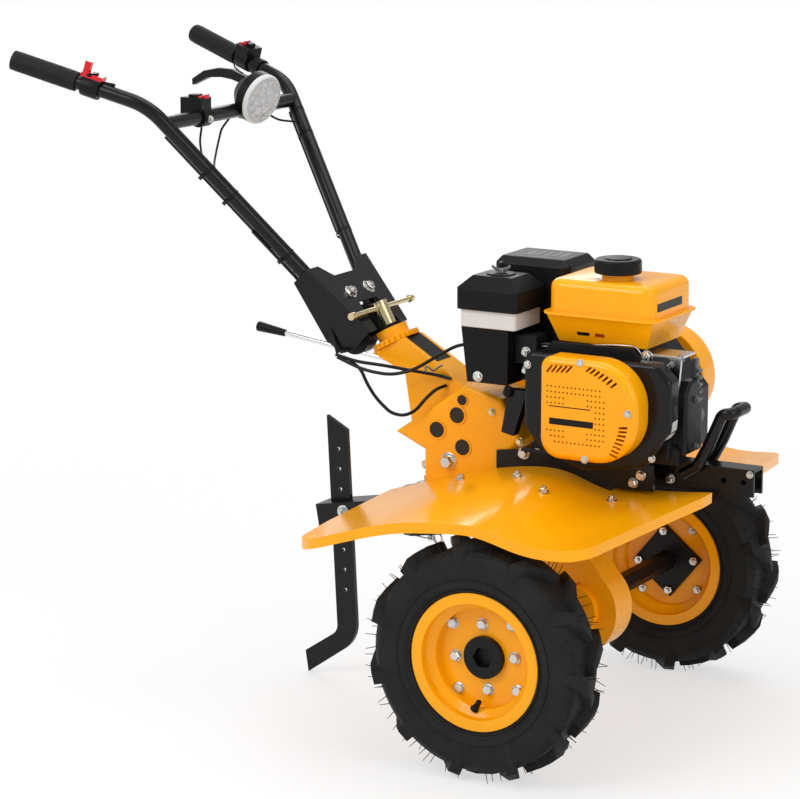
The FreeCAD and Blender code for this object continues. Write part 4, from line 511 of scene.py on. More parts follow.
class Workshop:
    """Turns shapes into finished, riding pieces and keeps count of them."""

    def __init__(self) -> None:
        """Starts with no pieces."""
        self.made: list[str] = []
        self.trees: dict[str, BVHTree] = {}

    def seat(self, node: str, near: Place, along: Vector) -> Vector:
        """Where a carried-over solid is met when it is looked at along a direction.

        Args:
            node: the solid.
            near: a point near its surface, in mm.
            along: the direction of the look.

        Returns:
            The point of the surface, in the row frame in metres.
        """
        if node not in self.trees:
            shape = bmesh.new()
            shape.from_mesh(bpy.data.objects[node].data)
            self.trees[node] = BVHTree.FromBMesh(shape)
            shape.free()
        look = along.normalized()
        start = spot(*near) - look * BACK_OFF * MM
        at = self.trees[node].ray_cast(start, look)[0]
        if at is None:
            log.warning("nothing of %s beside %s", node, near)
            at = self.trees[node].find_nearest(spot(*near))[0]
        return at

    def fixings(self, name: str, rows: Sequence[Fixing], finish: Finish, body: Body) -> Object:
        """Bolts, nuts and screws of one finish on one body, each on its seat.

        Args:
            name: the piece's name.
            rows: one row for each.
            finish: their surface finish.
            body: the body that they move with.

        Returns:
            The new object.
        """
        parts = []
        for count, row in enumerate(rows):
            head = Forge.bolt(row.across, row.deep, row.washer, row.stud)
            at = self.seat(row.node, row.near, row.along)
            parts.append(Forge.moved(head, aimed(at, -row.along, 17.0 * count)))
        return self.piece(name, Forge.joined(parts), finish, body)

    def label(self, node: str, corners: Sequence[Place], along: Vector, thick: float,
              steps: tuple[int, int] = (10, 4)) -> BMesh:
        """A thin blank plate or strip that follows a solid's surface.

        Args:
            node: the solid under it.
            corners: its four corners in order round it, in mm.
            along: the direction in which it is pressed on.
            thick: how far it stands out, in mm.
            steps: how many cells it has each way.

        Returns:
            The closed plate.
        """
        out = -along.normalized() * MM
        first, second, third, fourth = (Vector(corner) for corner in corners)
        across, down = steps
        shape = bmesh.new()
        edges = []
        for lift in (thick, -1.0):
            grid = []
            for row in range(down + 1):
                line = []
                for column in range(across + 1):
                    share = column / across
                    near = first.lerp(second, share).lerp(fourth.lerp(third, share), row / down)
                    line.append(shape.verts.new(self.seat(node, tuple(near), along) + out * lift))
                grid.append(line)
            for above, under in zip(grid, grid[1:]):
                for cell in zip(above, above[1:], under[1:], under):
                    shape.faces.new(cell)
            right = [line[-1] for line in grid[1:-1]]
            left = [line[0] for line in grid[1:-1]]
            edges.append(grid[0] + right + grid[-1][::-1] + left[::-1])
        ring = [edge + edge[:1] for edge in edges]
        for wall in zip(ring[0], ring[0][1:], ring[1][1:], ring[1]):
            shape.faces.new(wall)
        bmesh.ops.recalc_face_normals(shape, faces=shape.faces)
        return shape

    @staticmethod
    def pierced(thing: Object, cutter: BMesh, smooth: float = 30.0) -> None:
        """Cuts holes into a piece, after its edges are beveled.

        Args:
            thing: the piece.
            cutter: the holes as solids; it is freed.
            smooth: faces that meet under this angle, in degrees, shade smooth.
        """
        mesh = bpy.data.meshes.new("cutter")
        cutter.to_mesh(mesh)
        cutter.free()
        cut = thing.modifiers.new("holes", "BOOLEAN")
        cut.operation = "DIFFERENCE"
        cut.solver = "EXACT"
        cut.object = linked("cutter", mesh)
        holed = baked(thing)
        bpy.data.objects.remove(cut.object)
        bpy.data.meshes.remove(mesh)
        thing.modifiers.clear()
        thing.data = holed
        holed.set_sharp_from_angle(angle=math.radians(smooth))
        even = thing.modifiers.new("even", "WEIGHTED_NORMAL")
        even.keep_sharp = True

    def piece(self, name: str, shape: BMesh, finish: Finish, body: Body,
              replaces: Sequence[str] = (), smooth: float = 32.0) -> Object:
        """Makes an object of a bmesh and rides it on its body.

        Args:
            name: the piece's name.
            shape: its mesh, in metres in the row frame; it is freed.
            finish: its surface finish.
            body: the body that it moves with.
            replaces: CAD nodes that it stands for.
            smooth: faces that meet under this angle, in degrees, shade smooth.

        Returns:
            The new object.
        """
        mesh = bpy.data.meshes.new(name)
        shape.to_mesh(mesh)
        shape.free()
        thing = self._riding(name, mesh, finish, body, replaces)
        mesh.set_sharp_from_angle(angle=math.radians(smooth))
        return thing

    def strand(self, name: str, route: Sequence[Vector], radius: float, finish: Finish, body: Body,
               straight: bool = False) -> Object:
        """A wire, rod or held cable as a mesh tube along a smooth route.

        Args:
            name: the piece's name.
            route: control points in the row frame, in metres.
            radius: of the round section, in mm.
            finish: its surface finish.
            body: the body that it moves with.
            straight: keeps the runs straight instead of smooth.

        Returns:
            The new object.
        """
        curve = bpy.data.curves.new(name + "_line", "CURVE")
        curve.dimensions = "3D"
        curve.bevel_depth = radius * MM
        curve.bevel_resolution = 4
        curve.resolution_u = 10
        curve.use_fill_caps = True
        line = curve.splines.new("POLY" if straight else "NURBS")
        line.points.add(len(route) - 1)
        for dot, at in zip(line.points, route):
            dot.co = (*at, 1.0)
        if not straight:
            line.order_u = 3
            line.use_endpoint_u = True
        guide = linked(name + "_line", curve)
        mesh = baked(guide)
        bpy.data.objects.remove(guide)
        bpy.data.curves.remove(curve)
        mesh.name = name
        return self._riding(name, mesh, finish, body)

    def dress(self, node: str, finish: Finish, body: Body, edge: float, smooth: float = 30.0) -> Object:
        """A smooth, edge-beveled copy of a CAD node in its finish.

        Args:
            node: the CAD node, which the copy replaces.
            finish: its surface finish.
            body: the body that the node is in.
            edge: the bevel of its edges in mm, or 0.
            smooth: faces that meet under this angle, in degrees, shade smooth.

        Returns:
            The new object.
        """
        shape = bmesh.new()
        shape.from_mesh(bpy.data.objects[node].data)
        bmesh.ops.remove_doubles(shape, verts=shape.verts, dist=WELD)
        flat = math.radians(FLAT_TURN)
        bmesh.ops.dissolve_limit(shape, angle_limit=flat, verts=shape.verts, edges=shape.edges)
        thing = self.piece(node + "_dressed", shape, finish, body, (node,), smooth)
        if edge:
            rounding = thing.modifiers.new("edges", "BEVEL")
            rounding.width = edge * MM
            rounding.segments = 2
            rounding.limit_method = "ANGLE"
            rounding.angle_limit = math.radians(smooth)
            rounding.harden_normals = True
        return thing

    def _riding(self, name: str, mesh: Mesh, finish: Finish, body: Body,
                replaces: Sequence[str] = ()) -> Object:
        """Makes an object of a mesh, gives it its finish, rides it on its body and hides what it replaces."""
        mesh.materials.clear()
        mesh.materials.append(finish.material())
        mesh.polygons.foreach_set("use_smooth", [True] * len(mesh.polygons))
        thing = linked(name, mesh)
        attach(thing, body.value)
        if replaces:
            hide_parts(*replaces)
        self.made.append(thing.name)
        log.info("%s rides on %s", thing.name, body.value)
        return thing


@dataclass
class Wheels:
    """Both lugged tyres, their rims' bolts and the hubs."""

    track_half: float = 361.0
    centre_up: float = 205.0
    lugs: int = 11
    bolt_grid: float = 55.5
    grid_turn: float = 6.0
    hair_long: float = 21.0
    journal_half: float = 52.5
    journal_ease: float = 0.02
    seed: int = 7

    def build(self, shop: Workshop) -> None:
        """Makes the tyres' fine detail and dresses tyres, rims and hubs."""
        for side, sign in SIDES:
            shop.dress(f"tyre_{side}", TYRE_RUBBER, Body.WHEELS, 1.5, 38.0)
            shop.piece(f"tyre_{side}_hairs", self.hairs(sign), TYRE_RUBBER, Body.WHEELS)
            shop.piece(f"tyre_{side}_beads", self.beads(sign), TYRE_RUBBER, Body.WHEELS)
            shop.dress(f"rim_{side}", YELLOW_PAINT, Body.WHEELS, 0.8)
            shop.dress(f"hub_{side}", BLACK_CAST, Body.WHEELS, 1.0)
            shop.piece(f"rim_{side}_bolts", self.bolts(sign), BRIGHT_ZINC, Body.WHEELS)
            shop.piece(f"valve_{side}", self.valve(sign), BLACK_PLASTIC, Body.WHEELS)
        self.ease(shop.dress("axle_shaft", BLACK_CAST, Body.WHEELS, 0.8))

    def ease(self, axle: Object) -> None:
        """Eases the axle's journal a little, so that its facets clear the case's bore as it turns.

        Args:
            axle: the dressed axle shaft.
        """
        middle = axle_middle()
        for vert in axle.data.vertices:
            if abs(vert.co.y) < self.journal_half * MM:
                vert.co.x += (middle.x - vert.co.x) * self.journal_ease
                vert.co.z += (self.centre_up * MM - vert.co.z) * self.journal_ease

    def wheel_point(self, sign: float, turn: float, radius: float, out: float) -> Vector:
        """A point of a wheel.

        Args:
            sign: 1 for the left wheel, -1 for the right.
            turn: the angle from straight up towards the front, in degrees.
            radius: the distance from the axle, in mm.
            out: the distance outboard of the wheel's middle plane, in mm.

        Returns:
            The point in the row frame, in metres.
        """
        angle = math.radians(turn)
        return spot(radius * math.sin(angle), sign * (self.track_half + out),
                    self.centre_up + radius * math.cos(angle))

    def hairs(self, sign: float) -> BMesh:
        """Moulding whiskers along the lugs' shoulders and round the sidewalls."""
        dice = random.Random(self.seed + int(sign))
        pitch = 360.0 / self.lugs
        parts = []
        for flank, shift in ((1.0, 0.0), (-1.0, pitch / 2)):
            for count in range(self.lugs):
                turn = pitch * count + shift
                for step, radius, out in LUG_WHISKERS:
                    near = turn + step + dice.uniform(-1.8, 1.8)
                    long = self.hair_long * dice.uniform(0.85, 1.1)
                    self.whisker(parts, sign, near, radius, flank * out, flank * 0.4, long, dice)
                for step, out in TREAD_WHISKERS:
                    self.whisker(parts, sign, turn + step, TREAD_RADIUS, flank * out, 0.0, self.hair_long,
                                 dice)
        for ring, number, out in WALL_WHISKERS:
            for count in range(number):
                turn = 360.0 * count / number + dice.uniform(-4.0, 4.0)
                self.whisker(parts, sign, turn, ring, out, 0.6, 3.4, dice)
        return Forge.joined(parts)

    def whisker(self, parts: list[BMesh], sign: float, turn: float, radius: float, out: float,
                lean: float, long: float, dice: random.Random) -> None:
        """Adds one whisker unless it would reach into the ground.

        Args:
            parts: the list that it joins.
            sign: 1 for the left wheel, -1 for the right.
            turn: its angle from straight up towards the front, in degrees.
            radius: its root's distance from the axle, in mm.
            out: its root's distance outboard of the wheel's middle plane, in mm.
            lean: how far it leans outboard, as a share of its reach.
            long: its length in mm.
            dice: the source of its small tilts.
        """
        root = self.wheel_point(sign, turn, radius, out)
        away = self.wheel_point(sign, turn + dice.uniform(-2.0, 2.0), radius + 20.0, out + lean * 7.0) - root
        away.normalize()
        if (root + away * long * MM).z < GROUND_CLEAR:
            return
        parts.append(Forge.moved(Forge.rod(0.85, long, 5, 0.5), aimed(root, away)))

    def beads(self, sign: float) -> BMesh:
        """The raised rings on both sidewalls, beside the rim and at the wall's widest place."""
        parts = []
        for flank in (1.0, -1.0):
            for low, high, level in BEAD_RINGS:
                profile = [(low, level - 3.0), (low, level), (low + 0.6, level + 1.4),
                           (high - 0.6, level + 1.8), (high, level + 1.2), (high, level - 3.0)]
                ring = Forge.lathe(profile, 96, closed=True)
                middle = self.wheel_point(sign, 0.0, 0.0, 0.0)
                parts.append(Forge.moved(ring, aimed(middle, LEFT * sign * flank)))
        return Forge.joined(parts)

    def bolts(self, sign: float) -> BMesh:
        """The eight hex heads on one rim's disc, on a square grid, and the nuts behind them."""
        side = "left" if sign > 0 else "right"
        low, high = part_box(f"hub_{side}")
        face = abs(high[1] if sign > 0 else low[1]) / MM - 11.0
        turn = math.radians(self.grid_turn)
        parts = []
        for row in (-1, 0, 1):
            for column in (-1, 0, 1):
                if row == 0 and column == 0:
                    continue
                u = self.bolt_grid * (column * math.cos(turn) - row * math.sin(turn))
                v = self.bolt_grid * (column * math.sin(turn) + row * math.cos(turn))
                for outboard in (1.0, -1.0):
                    depth = face if outboard > 0 else face - (13.0 if abs(row) + abs(column) == 1 else 5.0)
                    head = Forge.bolt(9.0, 6.0, 10.5) if outboard > 0 else Forge.bolt(8.5, 7.0, 0.0, 5.0)
                    at = spot(u, sign * depth, self.centre_up + v)
                    parts.append(Forge.moved(head, aimed(at, LEFT * sign * outboard, 12.0 * row)))
        return Forge.joined(parts)

    def valve(self, sign: float) -> BMesh:
        """The tyre valve's stem and cap on the rim well's slope."""
        stem = Forge.lathe([(0.0, 0.0), (7.5, 0.0), (8.0, 2.0), (5.8, 4.5), (5.4, 10.0), (4.8, 11.0),
                            (4.8, 19.0), (3.4, 21.0), (0.0, 21.0)], 20)
        at = spot(-10.0, sign * 378.5, self.centre_up - 87.5)
        return Forge.moved(stem, aimed(at, Vector((0.5, sign * 0.15, 0.75))))


@dataclass
class Studio:
    """Pale floor, soft lamps and the camera."""

    azimuth: float = 29.756
    elevation: float = 12.086
    distance: float = 5.5252
    lens: float = 139.5
    target: Place = (-367.7, 0.0, 532.5)
    lamp_aim: Place = (0.0, 0.0, 0.45)
    floor_half: float = 60.0
    glow_near: float = 0.62
    glow_from: float = 0.7
    glow_to: float = 2.6

    def build(self) -> None:
        """Adds the floor, the world, the lamps and the camera."""
        self.floor()
        self.world()
        self.lamp("key", (-1.2, -3.4, 3.4), 2.4, 85.0)
        self.lamp("fill", (3.6, -1.6, 2.2), 2.6, 45.0)
        self.lamp("top", (0.2, 0.6, 4.2), 3.2, 70.0)
        self.lamp("rim", (-2.2, 3.2, 2.6), 2.0, 35.0)
        self.camera()

    def floor(self) -> None:
        """The wide flat floor."""
        shape = bmesh.new()
        corners = ((-1.0, -1.0), (1.0, -1.0), (1.0, 1.0), (-1.0, 1.0))
        half = self.floor_half
        shape.faces.new([shape.verts.new((x * half, y * half, 0.0)) for x, y in corners])
        mesh = bpy.data.meshes.new("floor")
        shape.to_mesh(mesh)
        shape.free()
        mesh.materials.append(self.floor_material())
        floor = linked("floor", mesh)

    def floor_material(self) -> Material:
        """Matt white that glows for the eye and for reflections, less so under the machine."""
        made = bpy.data.materials.new("floor_white")
        graph = Graph(made)
        shader = graph.tune(graph.nodes["Principled BSDF"], Base_Color=(0.86, 0.86, 0.86, 1.0), Roughness=0.9,
                            Specular_IOR_Level=0.1)
        rays = graph.add("LightPath")
        seen = graph.add("Math")
        seen.operation = "MAXIMUM"
        graph.feed(rays, "Is Camera Ray", seen, 0)
        graph.feed(rays, "Is Glossy Ray", seen, 1)
        reach = graph.add("VectorMath")
        reach.operation = "LENGTH"
        graph.feed(graph.add("TexCoord"), "Object", reach, 0)
        fade = graph.add("MapRange", From_Min=self.glow_from, From_Max=self.glow_to, To_Min=self.glow_near)
        fade.interpolation_type = "SMOOTHSTEP"
        graph.feed(reach, "Value", fade, "Value")
        share = graph.add("Math")
        share.operation = "MULTIPLY"
        graph.feed(seen, 0, share, 0)
        graph.feed(fade, "Result", share, 1)
        glow = graph.add("Emission", Color=(1.0, 1.0, 1.0, 1.0), Strength=1.0)
        both = graph.add("MixShader")
        graph.feed(share, 0, both, "Fac")
        graph.feed(shader, "BSDF", both, 1)
        graph.feed(glow, "Emission", both, 2)
        graph.feed(both, "Shader", graph.nodes["Material Output"], "Surface")
        return made

    def world(self) -> None:
        """White to the eye and a plain soft light to the object."""
        world = bpy.data.worlds.new("studio")
        bpy.context.scene.world = world
        graph = Graph(world)
        back = graph.tune(graph.nodes["Background"], Color=(1.0, 1.0, 1.0, 1.0))
        level = graph.add("MapRange", To_Min=0.5, To_Max=1.0)
        graph.feed(graph.add("LightPath"), "Is Camera Ray", level, "Value")
        graph.feed(level, "Result", back, "Strength")

    def lamp(self, name: str, at: Place, size: float, power: float) -> None:
        """A square soft lamp aimed at the machine.

        Args:
            name: the lamp's name.
            at: its place in metres.
            size: its side in metres.
            power: its watts.
        """
        light = bpy.data.lights.new(name, "AREA")
        light.energy = power
        light.size = size
        thing = linked(name, light)
        thing.location = at
        thing.rotation_euler = (Vector(self.lamp_aim) - Vector(at)).to_track_quat("-Z", "Y").to_euler()

    def camera(self) -> None:
        """A long lens, a little above the machine and before its right side."""
        lens = bpy.data.cameras.new("camera")
        lens.lens = self.lens
        lens.sensor_width = 36.0
        thing = linked("camera", lens)
        turn, rise = math.radians(self.azimuth), math.radians(self.elevation)
        away = Vector((math.sin(turn) * math.cos(rise), -math.cos(turn) * math.cos(rise), math.sin(rise)))
        aim = spot(*self.target)
        thing.location = aim + away * self.distance
        thing.rotation_euler = (-away).to_track_quat("-Z", "Y").to_euler()
        bpy.context.scene.camera = thing
        bpy.context.scene.view_settings.view_transform = "Standard"


@dataclass
class Chassis:
    """Gearbox, neck, hitch, engine frame, bumper and fenders."""

    def build(self, shop: Workshop) -> None:
        """Dresses the carried-over solids and adds what is on them."""
        shop.dress("gearbox_case", YELLOW_CAST, Body.CHASSIS, 2.5)
        shop.dress("handle_column", YELLOW_CAST, Body.CHASSIS, 1.5)
        shop.dress("swivel_head", YELLOW_CAST, Body.CHASSIS, 0.8)
        for node in ("fender_left", "fender_right"):
            shop.dress(node, YELLOW_PAINT, Body.CHASSIS, 0.5)
        for node in ("engine_frame", "front_beam", "bumper", "hitch_bracket"):
            shop.dress(node, BLACK_PAINT, Body.CHASSIS, 0.8)
        shop.dress("hitch_pin", BRIGHT_ZINC, Body.CHASSIS, 0.4)
        shop.dress("shift_lever", CHROME, Body.CHASSIS, 0.0)
        shop.dress("shift_knob", BLACK_PLASTIC, Body.CHASSIS, 2.0)
        shop.piece("gearbox_plugs", self.plugs(shop), DARK_PLUG, Body.CHASSIS)
        shop.fixings("chassis_bolts", self.bolts(), BRIGHT_ZINC, Body.CHASSIS)
        shop.fixings("chassis_studs", self.studs(), GOLD_ZINC, Body.CHASSIS)
        plate = ((-341.0, -24.0, 646.0), (-341.0, 24.0, 646.0), (-278.0, 24.0, 618.0), (-278.0, -24.0, 618.0))
        shop.piece("neck_plate", shop.label("handle_column", plate, -UP, 0.7), DARK_PRINT_AND_SHADE, Body.CHASSIS)
        shop.strand("hitch_clip", self.clip(), 1.4, BRIGHT_ZINC, Body.CHASSIS)
        shop.strand("clip_ring", self.ring((-286.0, -9.0, 290.0), 9.0), 1.5, BRIGHT_ZINC, Body.CHASSIS)
        shop.strand("case_hook", self.hook(), 1.8, GREY_METAL, Body.CHASSIS)

    def plugs(self, shop: Workshop) -> BMesh:
        """Dark plugs with a raised rim in the bosses on the case's right side."""
        parts = []
        for x, z, radius in ((-258.0, 502.0, 14.0), (-218.0, 532.0, 14.0), (-207.0, 476.0, 14.0),
                             (-208.0, 560.0, 9.0)):
            disc = Forge.lathe([(0.0, -1.0), (radius, -1.0), (radius, 0.9), (radius - 0.8, 1.5),
                                (radius - 2.4, 1.5), (radius - 3.2, 0.8), (0.0, 1.1)], 48)
            parts.append(Forge.moved(disc, aimed(shop.seat("gearbox_case", (x, -61.0, z), LEFT), -LEFT)))
        return Forge.joined(parts)

    def bolts(self) -> list[Fixing]:
        """The bright bolts of the case, the frame, the fenders, the beam and the engine's feet."""
        rows = [Fixing("gearbox_case", (-234.6, -60.0, 447.7), LEFT, 11.5, 13.0, 15.5),
                Fixing("engine_frame", (-83.8, -66.0, 480.7), LEFT, 9.0, 8.0, 11.0),
                Fixing("engine_frame", (139.0, -66.0, 467.5), LEFT, 7.5, 6.5, 9.0),
                Fixing("engine_frame", (125.0, -66.0, 453.0), LEFT, 7.5, 6.5, 9.0),
                Fixing("front_beam", (172.0, -20.0, 457.0), LEFT, 7.5, 6.5, 9.0),
                Fixing("front_beam", (318.0, -20.0, 480.0), LEFT, 5.0, 5.0, 6.5)]
        rows += [Fixing("engine_frame", (x, 66.0, z), -LEFT, 7.5, 6.5, 9.0)
                 for x, z in ((-83.8, 480.7), (20.0, 470.0), (139.0, 467.5))]
        for side, sign in SIDES:
            rows += [Fixing(f"fender_{side}", (x, sign * y, z), -UP, 6.5, 5.5, 9.0, 3.0)
                     for x, y, z in ((-64.4, 128.6, 455.0), (12.9, 180.0, 450.0), (110.0, 118.0, 434.0),
                                     (-180.0, 116.0, 434.0))]
        rows += [Fixing("crankcase", (x, y, 506.0), -UP, 7.5, 6.5, 9.5, 4.0)
                 for x in (-52.0, 150.0) for y in (-72.0, 72.0)]
        return rows

    def studs(self) -> list[Fixing]:
        """The gold-plated screws on the gearbox's right side and on the hitch bracket."""
        return [Fixing("gearbox_case", (-98.8, -60.0, 497.0), LEFT, 6.0, 5.0, 8.0),
                Fixing("gearbox_case", (-150.0, -60.0, 545.0), LEFT, 5.0, 4.0, 7.0),
                Fixing("hitch_bracket", (-300.0, -36.0, 430.0), LEFT, 6.0, 5.0, 8.0),
                Fixing("hitch_bracket", (-300.0, 36.0, 430.0), -LEFT, 6.0, 5.0, 8.0)]

    @staticmethod
    def ring(middle: Place, radius: float, steps: int = 20) -> list[Vector]:
        """Points round an upright ring that faces sideways, from its foot and back to it."""
        x, y, z = middle
        turns = [math.tau * step / steps for step in range(steps + 1)]
        return [spot(x - radius * math.cos(turn), y, z + radius * math.sin(turn)) for turn in turns]

    @staticmethod
    def clip() -> list[Vector]:
        """The wavy leg and the straight leg of the spring clip through the hitch pin."""
        legs = ((-330, -9, 299), (-322, -9, 295), (-314, -9.5, 299), (-305, -10, 294), (-296, -9, 291),
                (-286, -9, 281), (-296, -9, 287), (-308, -9, 287), (-334, -9, 289))
        return spots(legs)

    @staticmethod
    def hook() -> list[Vector]:
        """The small open hook that guides the cables beside the neck."""
        dots = ((-262, -37, 612), (-262, -52, 611), (-262, -66, 606), (-266, -72, 611), (-272, -72, 616),
                (-277, -72, 611), (-273, -72, 605))
        return spots(dots)


@dataclass
class Engine:
    """The air-cooled petrol engine and its covers."""

    dot_grid: tuple[int, int] = (15, 11)
    dot_first: tuple[float, float] = (13.5, 629.0)
    dot_step: tuple[float, float] = (7.5, 9.4)
    face_middle_up: float = 578.0
    grip_lobes: int = 18
    spring_steps: int = 96
    spring_turns: int = 12

    def build(self, shop: Workshop) -> None:
        """Dresses the engine's solids and adds what is on them."""
        table = {
            "crankcase": (DARK_METAL, 2.0),
            "cylinder": (DARK_METAL, 1.5),
            "blower_housing": (BLACK_PAINT, 2.0),
            "recoil_cover": (YELLOW_PAINT, 1.5),
            "fuel_tank": (YELLOW_PAINT, 2.5),
            "fuel_cap": (BLACK_PLASTIC, 1.5),
            "air_cleaner_base": (BLACK_PLASTIC, 1.5),
            "air_cleaner_band": (PALE_PLASTIC, 2.0),
            "air_cleaner_cover": (BLACK_PLASTIC, 2.0),
            "carburettor": (DARK_METAL, 1.0),
            "muffler": (BLACK_CAST, 2.5),
            "control_linkage": (BRIGHT_ZINC, 0.4),
            "cooling_duct": (BLACK_PAINT, 1.0),
            "belt_cover": (YELLOW_PAINT, 3.0),
            "clutch_cable": (CABLE_COVER, 0.0),
            "throttle_cable": (CABLE_COVER, 0.0),
            "shift_cable": (CABLE_COVER, 0.0),
        }
        for node, (finish, edge) in table.items():
            made = shop.dress(node, finish, Body.CHASSIS, edge)
            if node == "recoil_cover":
                shop.pierced(made, self.holes(-168.0, -160.0, 24.0, 0.0))
        # Dark discs at the floors of the recoil cover's blind holes: painted shade of the dark space behind
        # them.
        shop.piece("recoil_hole_painted_shade", self.holes(-167.5, -159.5, 1.0, 0.5), DARK_PRINT_AND_SHADE, Body.CHASSIS)
        shop.fixings("engine_bolts", self.bolts(), BRIGHT_ZINC, Body.CHASSIS)
        shop.fixings("engine_plugs", self.plugs(), GREY_METAL, Body.CHASSIS)
        self.plates(shop)
        self.cleaner(shop)
        self.cap(shop)
        self.governor(shop)
        shop.piece("front_mount", self.mount(), BLACK_CAST, Body.CHASSIS)
        shop.piece("starter_grip", self.starter(), BLACK_PLASTIC, Body.CHASSIS)

    def dots(self) -> list[tuple[float, float]]:
        """The middles of the recoil cover's small holes, in mm forward and up."""
        places = []
        columns, rows = self.dot_grid
        for row in range(rows):
            level = self.dot_first[1] - self.dot_step[1] * row
            rise = abs(level - self.face_middle_up)
            rear = 12.0 + max(0.0, 548.0 - level) * 0.75
            front = 103.0 + 20.0 * math.sqrt(max(0.0, 1.0 - (rise / 56.0) ** 2))
            for column in range(columns):
                ahead = self.dot_first[0] + self.dot_step[0] * column
                blank = (rise < 18.0 and ahead < 98.0) or (rise < 34.0 and 44.0 < ahead < 88.0)
                if rear <= ahead < front and not blank:
                    places.append((ahead, level))
        return places

    def slots(self) -> list[tuple[float, float, float, float]]:
        """The ends of the recoil cover's louvres, in mm forward and up."""
        rows = [(12.1 + 8.9 * count, 651.8 + 0.5 * count, 22.1 + 9.3 * count, 664.6 + 0.5 * count)
                for count in range(5)]
        for count in range(7):
            share = count / 6
            swell = 8.0 * share * (1 - share)
            rows.append((84.7 + 45.4 * share, 659.2 - 23.0 * share + swell,
                         94.6 + 47.0 * share, 667.9 - 21.9 * share + swell))
        for count in range(8):
            share = count / 7
            rows.append((146.2 - 16.0 * share ** 1.5, 570.3 - 45.0 * share,
                         162.8 - 20.8 * share ** 1.5, 572.2 - 53.3 * share))
        return rows

    def holes(self, dot_floor: float, slot_floor: float, long: float, spare: float) -> BMesh:
        """Every hole of the recoil cover as a solid across its right face.

        Args:
            dot_floor: how far left the small holes' solids start, in mm.
            slot_floor: how far left the louvres' solids start, in mm.
            long: how far they reach to the right, in mm.
            spare: how much wider than the holes they are, in mm.

        Returns:
            The solids.
        """
        rod = Forge.rod(1.7 + spare, long, 8)
        parts = [Forge.copied(rod, aimed(spot(ahead, dot_floor, level), -LEFT))
                 for ahead, level in self.dots()]
        rod.free()
        for x0, z0, x1, z1 in self.slots():
            run = Vector((x1 - x0, 0.0, z1 - z0))
            side = run.cross(LEFT).normalized() * (1.9 + spare)
            half = run / 2 + run.normalized() * spare
            middle = Vector(((x0 + x1) / 2, slot_floor, (z0 + z1) / 2))
            outline = [middle + half + side, middle + half - side, middle - half - side, middle - half + side]
            parts.append(Forge.prism(spots(outline), -LEFT * long * MM))
        return Forge.joined(parts)

    def bolts(self) -> list[Fixing]:
        """The bright screws and bolts of the engine and its covers, on both sides."""
        return [Fixing("recoil_cover", (73.8, -166.0, 672.4), LEFT, 5.5, 3.0, 7.0),
                Fixing("recoil_cover", (163.0, -166.0, 596.0), LEFT, 5.5, 3.0, 7.0),
                Fixing("recoil_cover", (84.0, -166.0, 510.0), LEFT, 5.5, 3.0, 7.0),
                Fixing("air_cleaner_base", (-154.6, -104.0, 615.0), LEFT, 7.0, 5.0, 9.5),
                Fixing("control_linkage", (151.0, -76.0, 668.0), LEFT, 9.0, 7.0, 10.5, 3.0),
                Fixing("carburettor", (-74.0, -80.0, 662.0), LEFT, 7.0, 6.0, 9.0, 3.0),
                Fixing("carburettor", (-74.0, -80.0, 630.0), LEFT, 6.0, 8.0, 8.0),
                Fixing("blower_housing", (-48.0, -124.0, 650.0), LEFT, 5.0, 4.0, 7.0),
                Fixing("blower_housing", (200.0, -124.0, 500.0), LEFT, 5.0, 4.0, 7.0),
                Fixing("belt_cover", (84.0, 160.0, 592.0), -LEFT, 8.0, 6.0, 12.0, 4.0),
                Fixing("belt_cover", (-190.0, 160.0, 520.0), -LEFT, 8.0, 6.0, 12.0, 4.0),
                Fixing("muffler", (-160.0, 120.0, 720.0), -LEFT, 6.0, 4.5, 9.0),
                Fixing("muffler", (-62.0, 120.0, 720.0), -LEFT, 6.0, 4.5, 9.0)]

    def plugs(self) -> list[Fixing]:
        """The grey oil plug and the four screws in front of the crankcase."""
        rows = [Fixing("crankcase", (221.0, 9.0, 566.0), -FORWARD, 13.0, 14.0, 15.0)]
        rows += [Fixing("crankcase", (221.0, side * 27.0, level), -FORWARD, 5.0, 4.0, 6.5)
                 for side in (-1.0, 1.0) for level in (520.0, 600.0)]
        return rows

    def plates(self, shop: Workshop) -> None:
        """Adds the blank stripes and plates of tank and covers, and dark sheets in the muffler's slits as
        painted shade of its openings.
        """
        front = ((178, -80, 766), (178, 16, 766), (178, 16, 752), (178, -80, 752))
        mark = ((26, -104, 708), (50, -104, 708), (49, -104, 702), (27, -104, 702))
        line = ((17, -172, 596), (94, -172, 596), (94, -172, 594.4), (17, -172, 594.4))
        band = ((18, -172, 575), (100, -172, 575), (99, -172, 564), (18, -172, 564))
        dark = [shop.label("fuel_tank", front, -FORWARD, 0.4),
                shop.label("fuel_tank", mark, LEFT, 0.4, (4, 2)),
                shop.label("recoil_cover", line, LEFT, 0.3, (4, 1)),
                shop.label("recoil_cover", band, LEFT, 0.3, (6, 2))]
        # Dark sheets over the muffler's slits: painted shade of the openings, not a colour of the muffler.
        for ahead in (-140, -124, -108, -92, -76):
            slit = ((ahead, 40, 808), (ahead, 84, 808), (ahead + 7, 84, 808), (ahead + 7, 40, 808))
            dark.append(shop.label("muffler", slit, -UP, 0.2, (2, 4)))
        shop.piece("engine_stripes_and_slit_shade", Forge.joined(dark), DARK_PRINT_AND_SHADE, Body.CHASSIS)
        rust = ((60, -104, 708), (78, -104, 708), (77, -104, 702), (60, -104, 702))
        shop.piece("tank_mark", shop.label("fuel_tank", rust, LEFT, 0.4, (4, 2)), RUST_LABEL, Body.CHASSIS)
        pale = ((217, -119, 546), (217, -113, 576), (217, -94, 578), (217, -99, 548))
        plate = shop.label("blower_housing", pale, -FORWARD, 0.5, (4, 4))
        shop.piece("blower_plate", plate, PALE_LABEL, Body.CHASSIS)

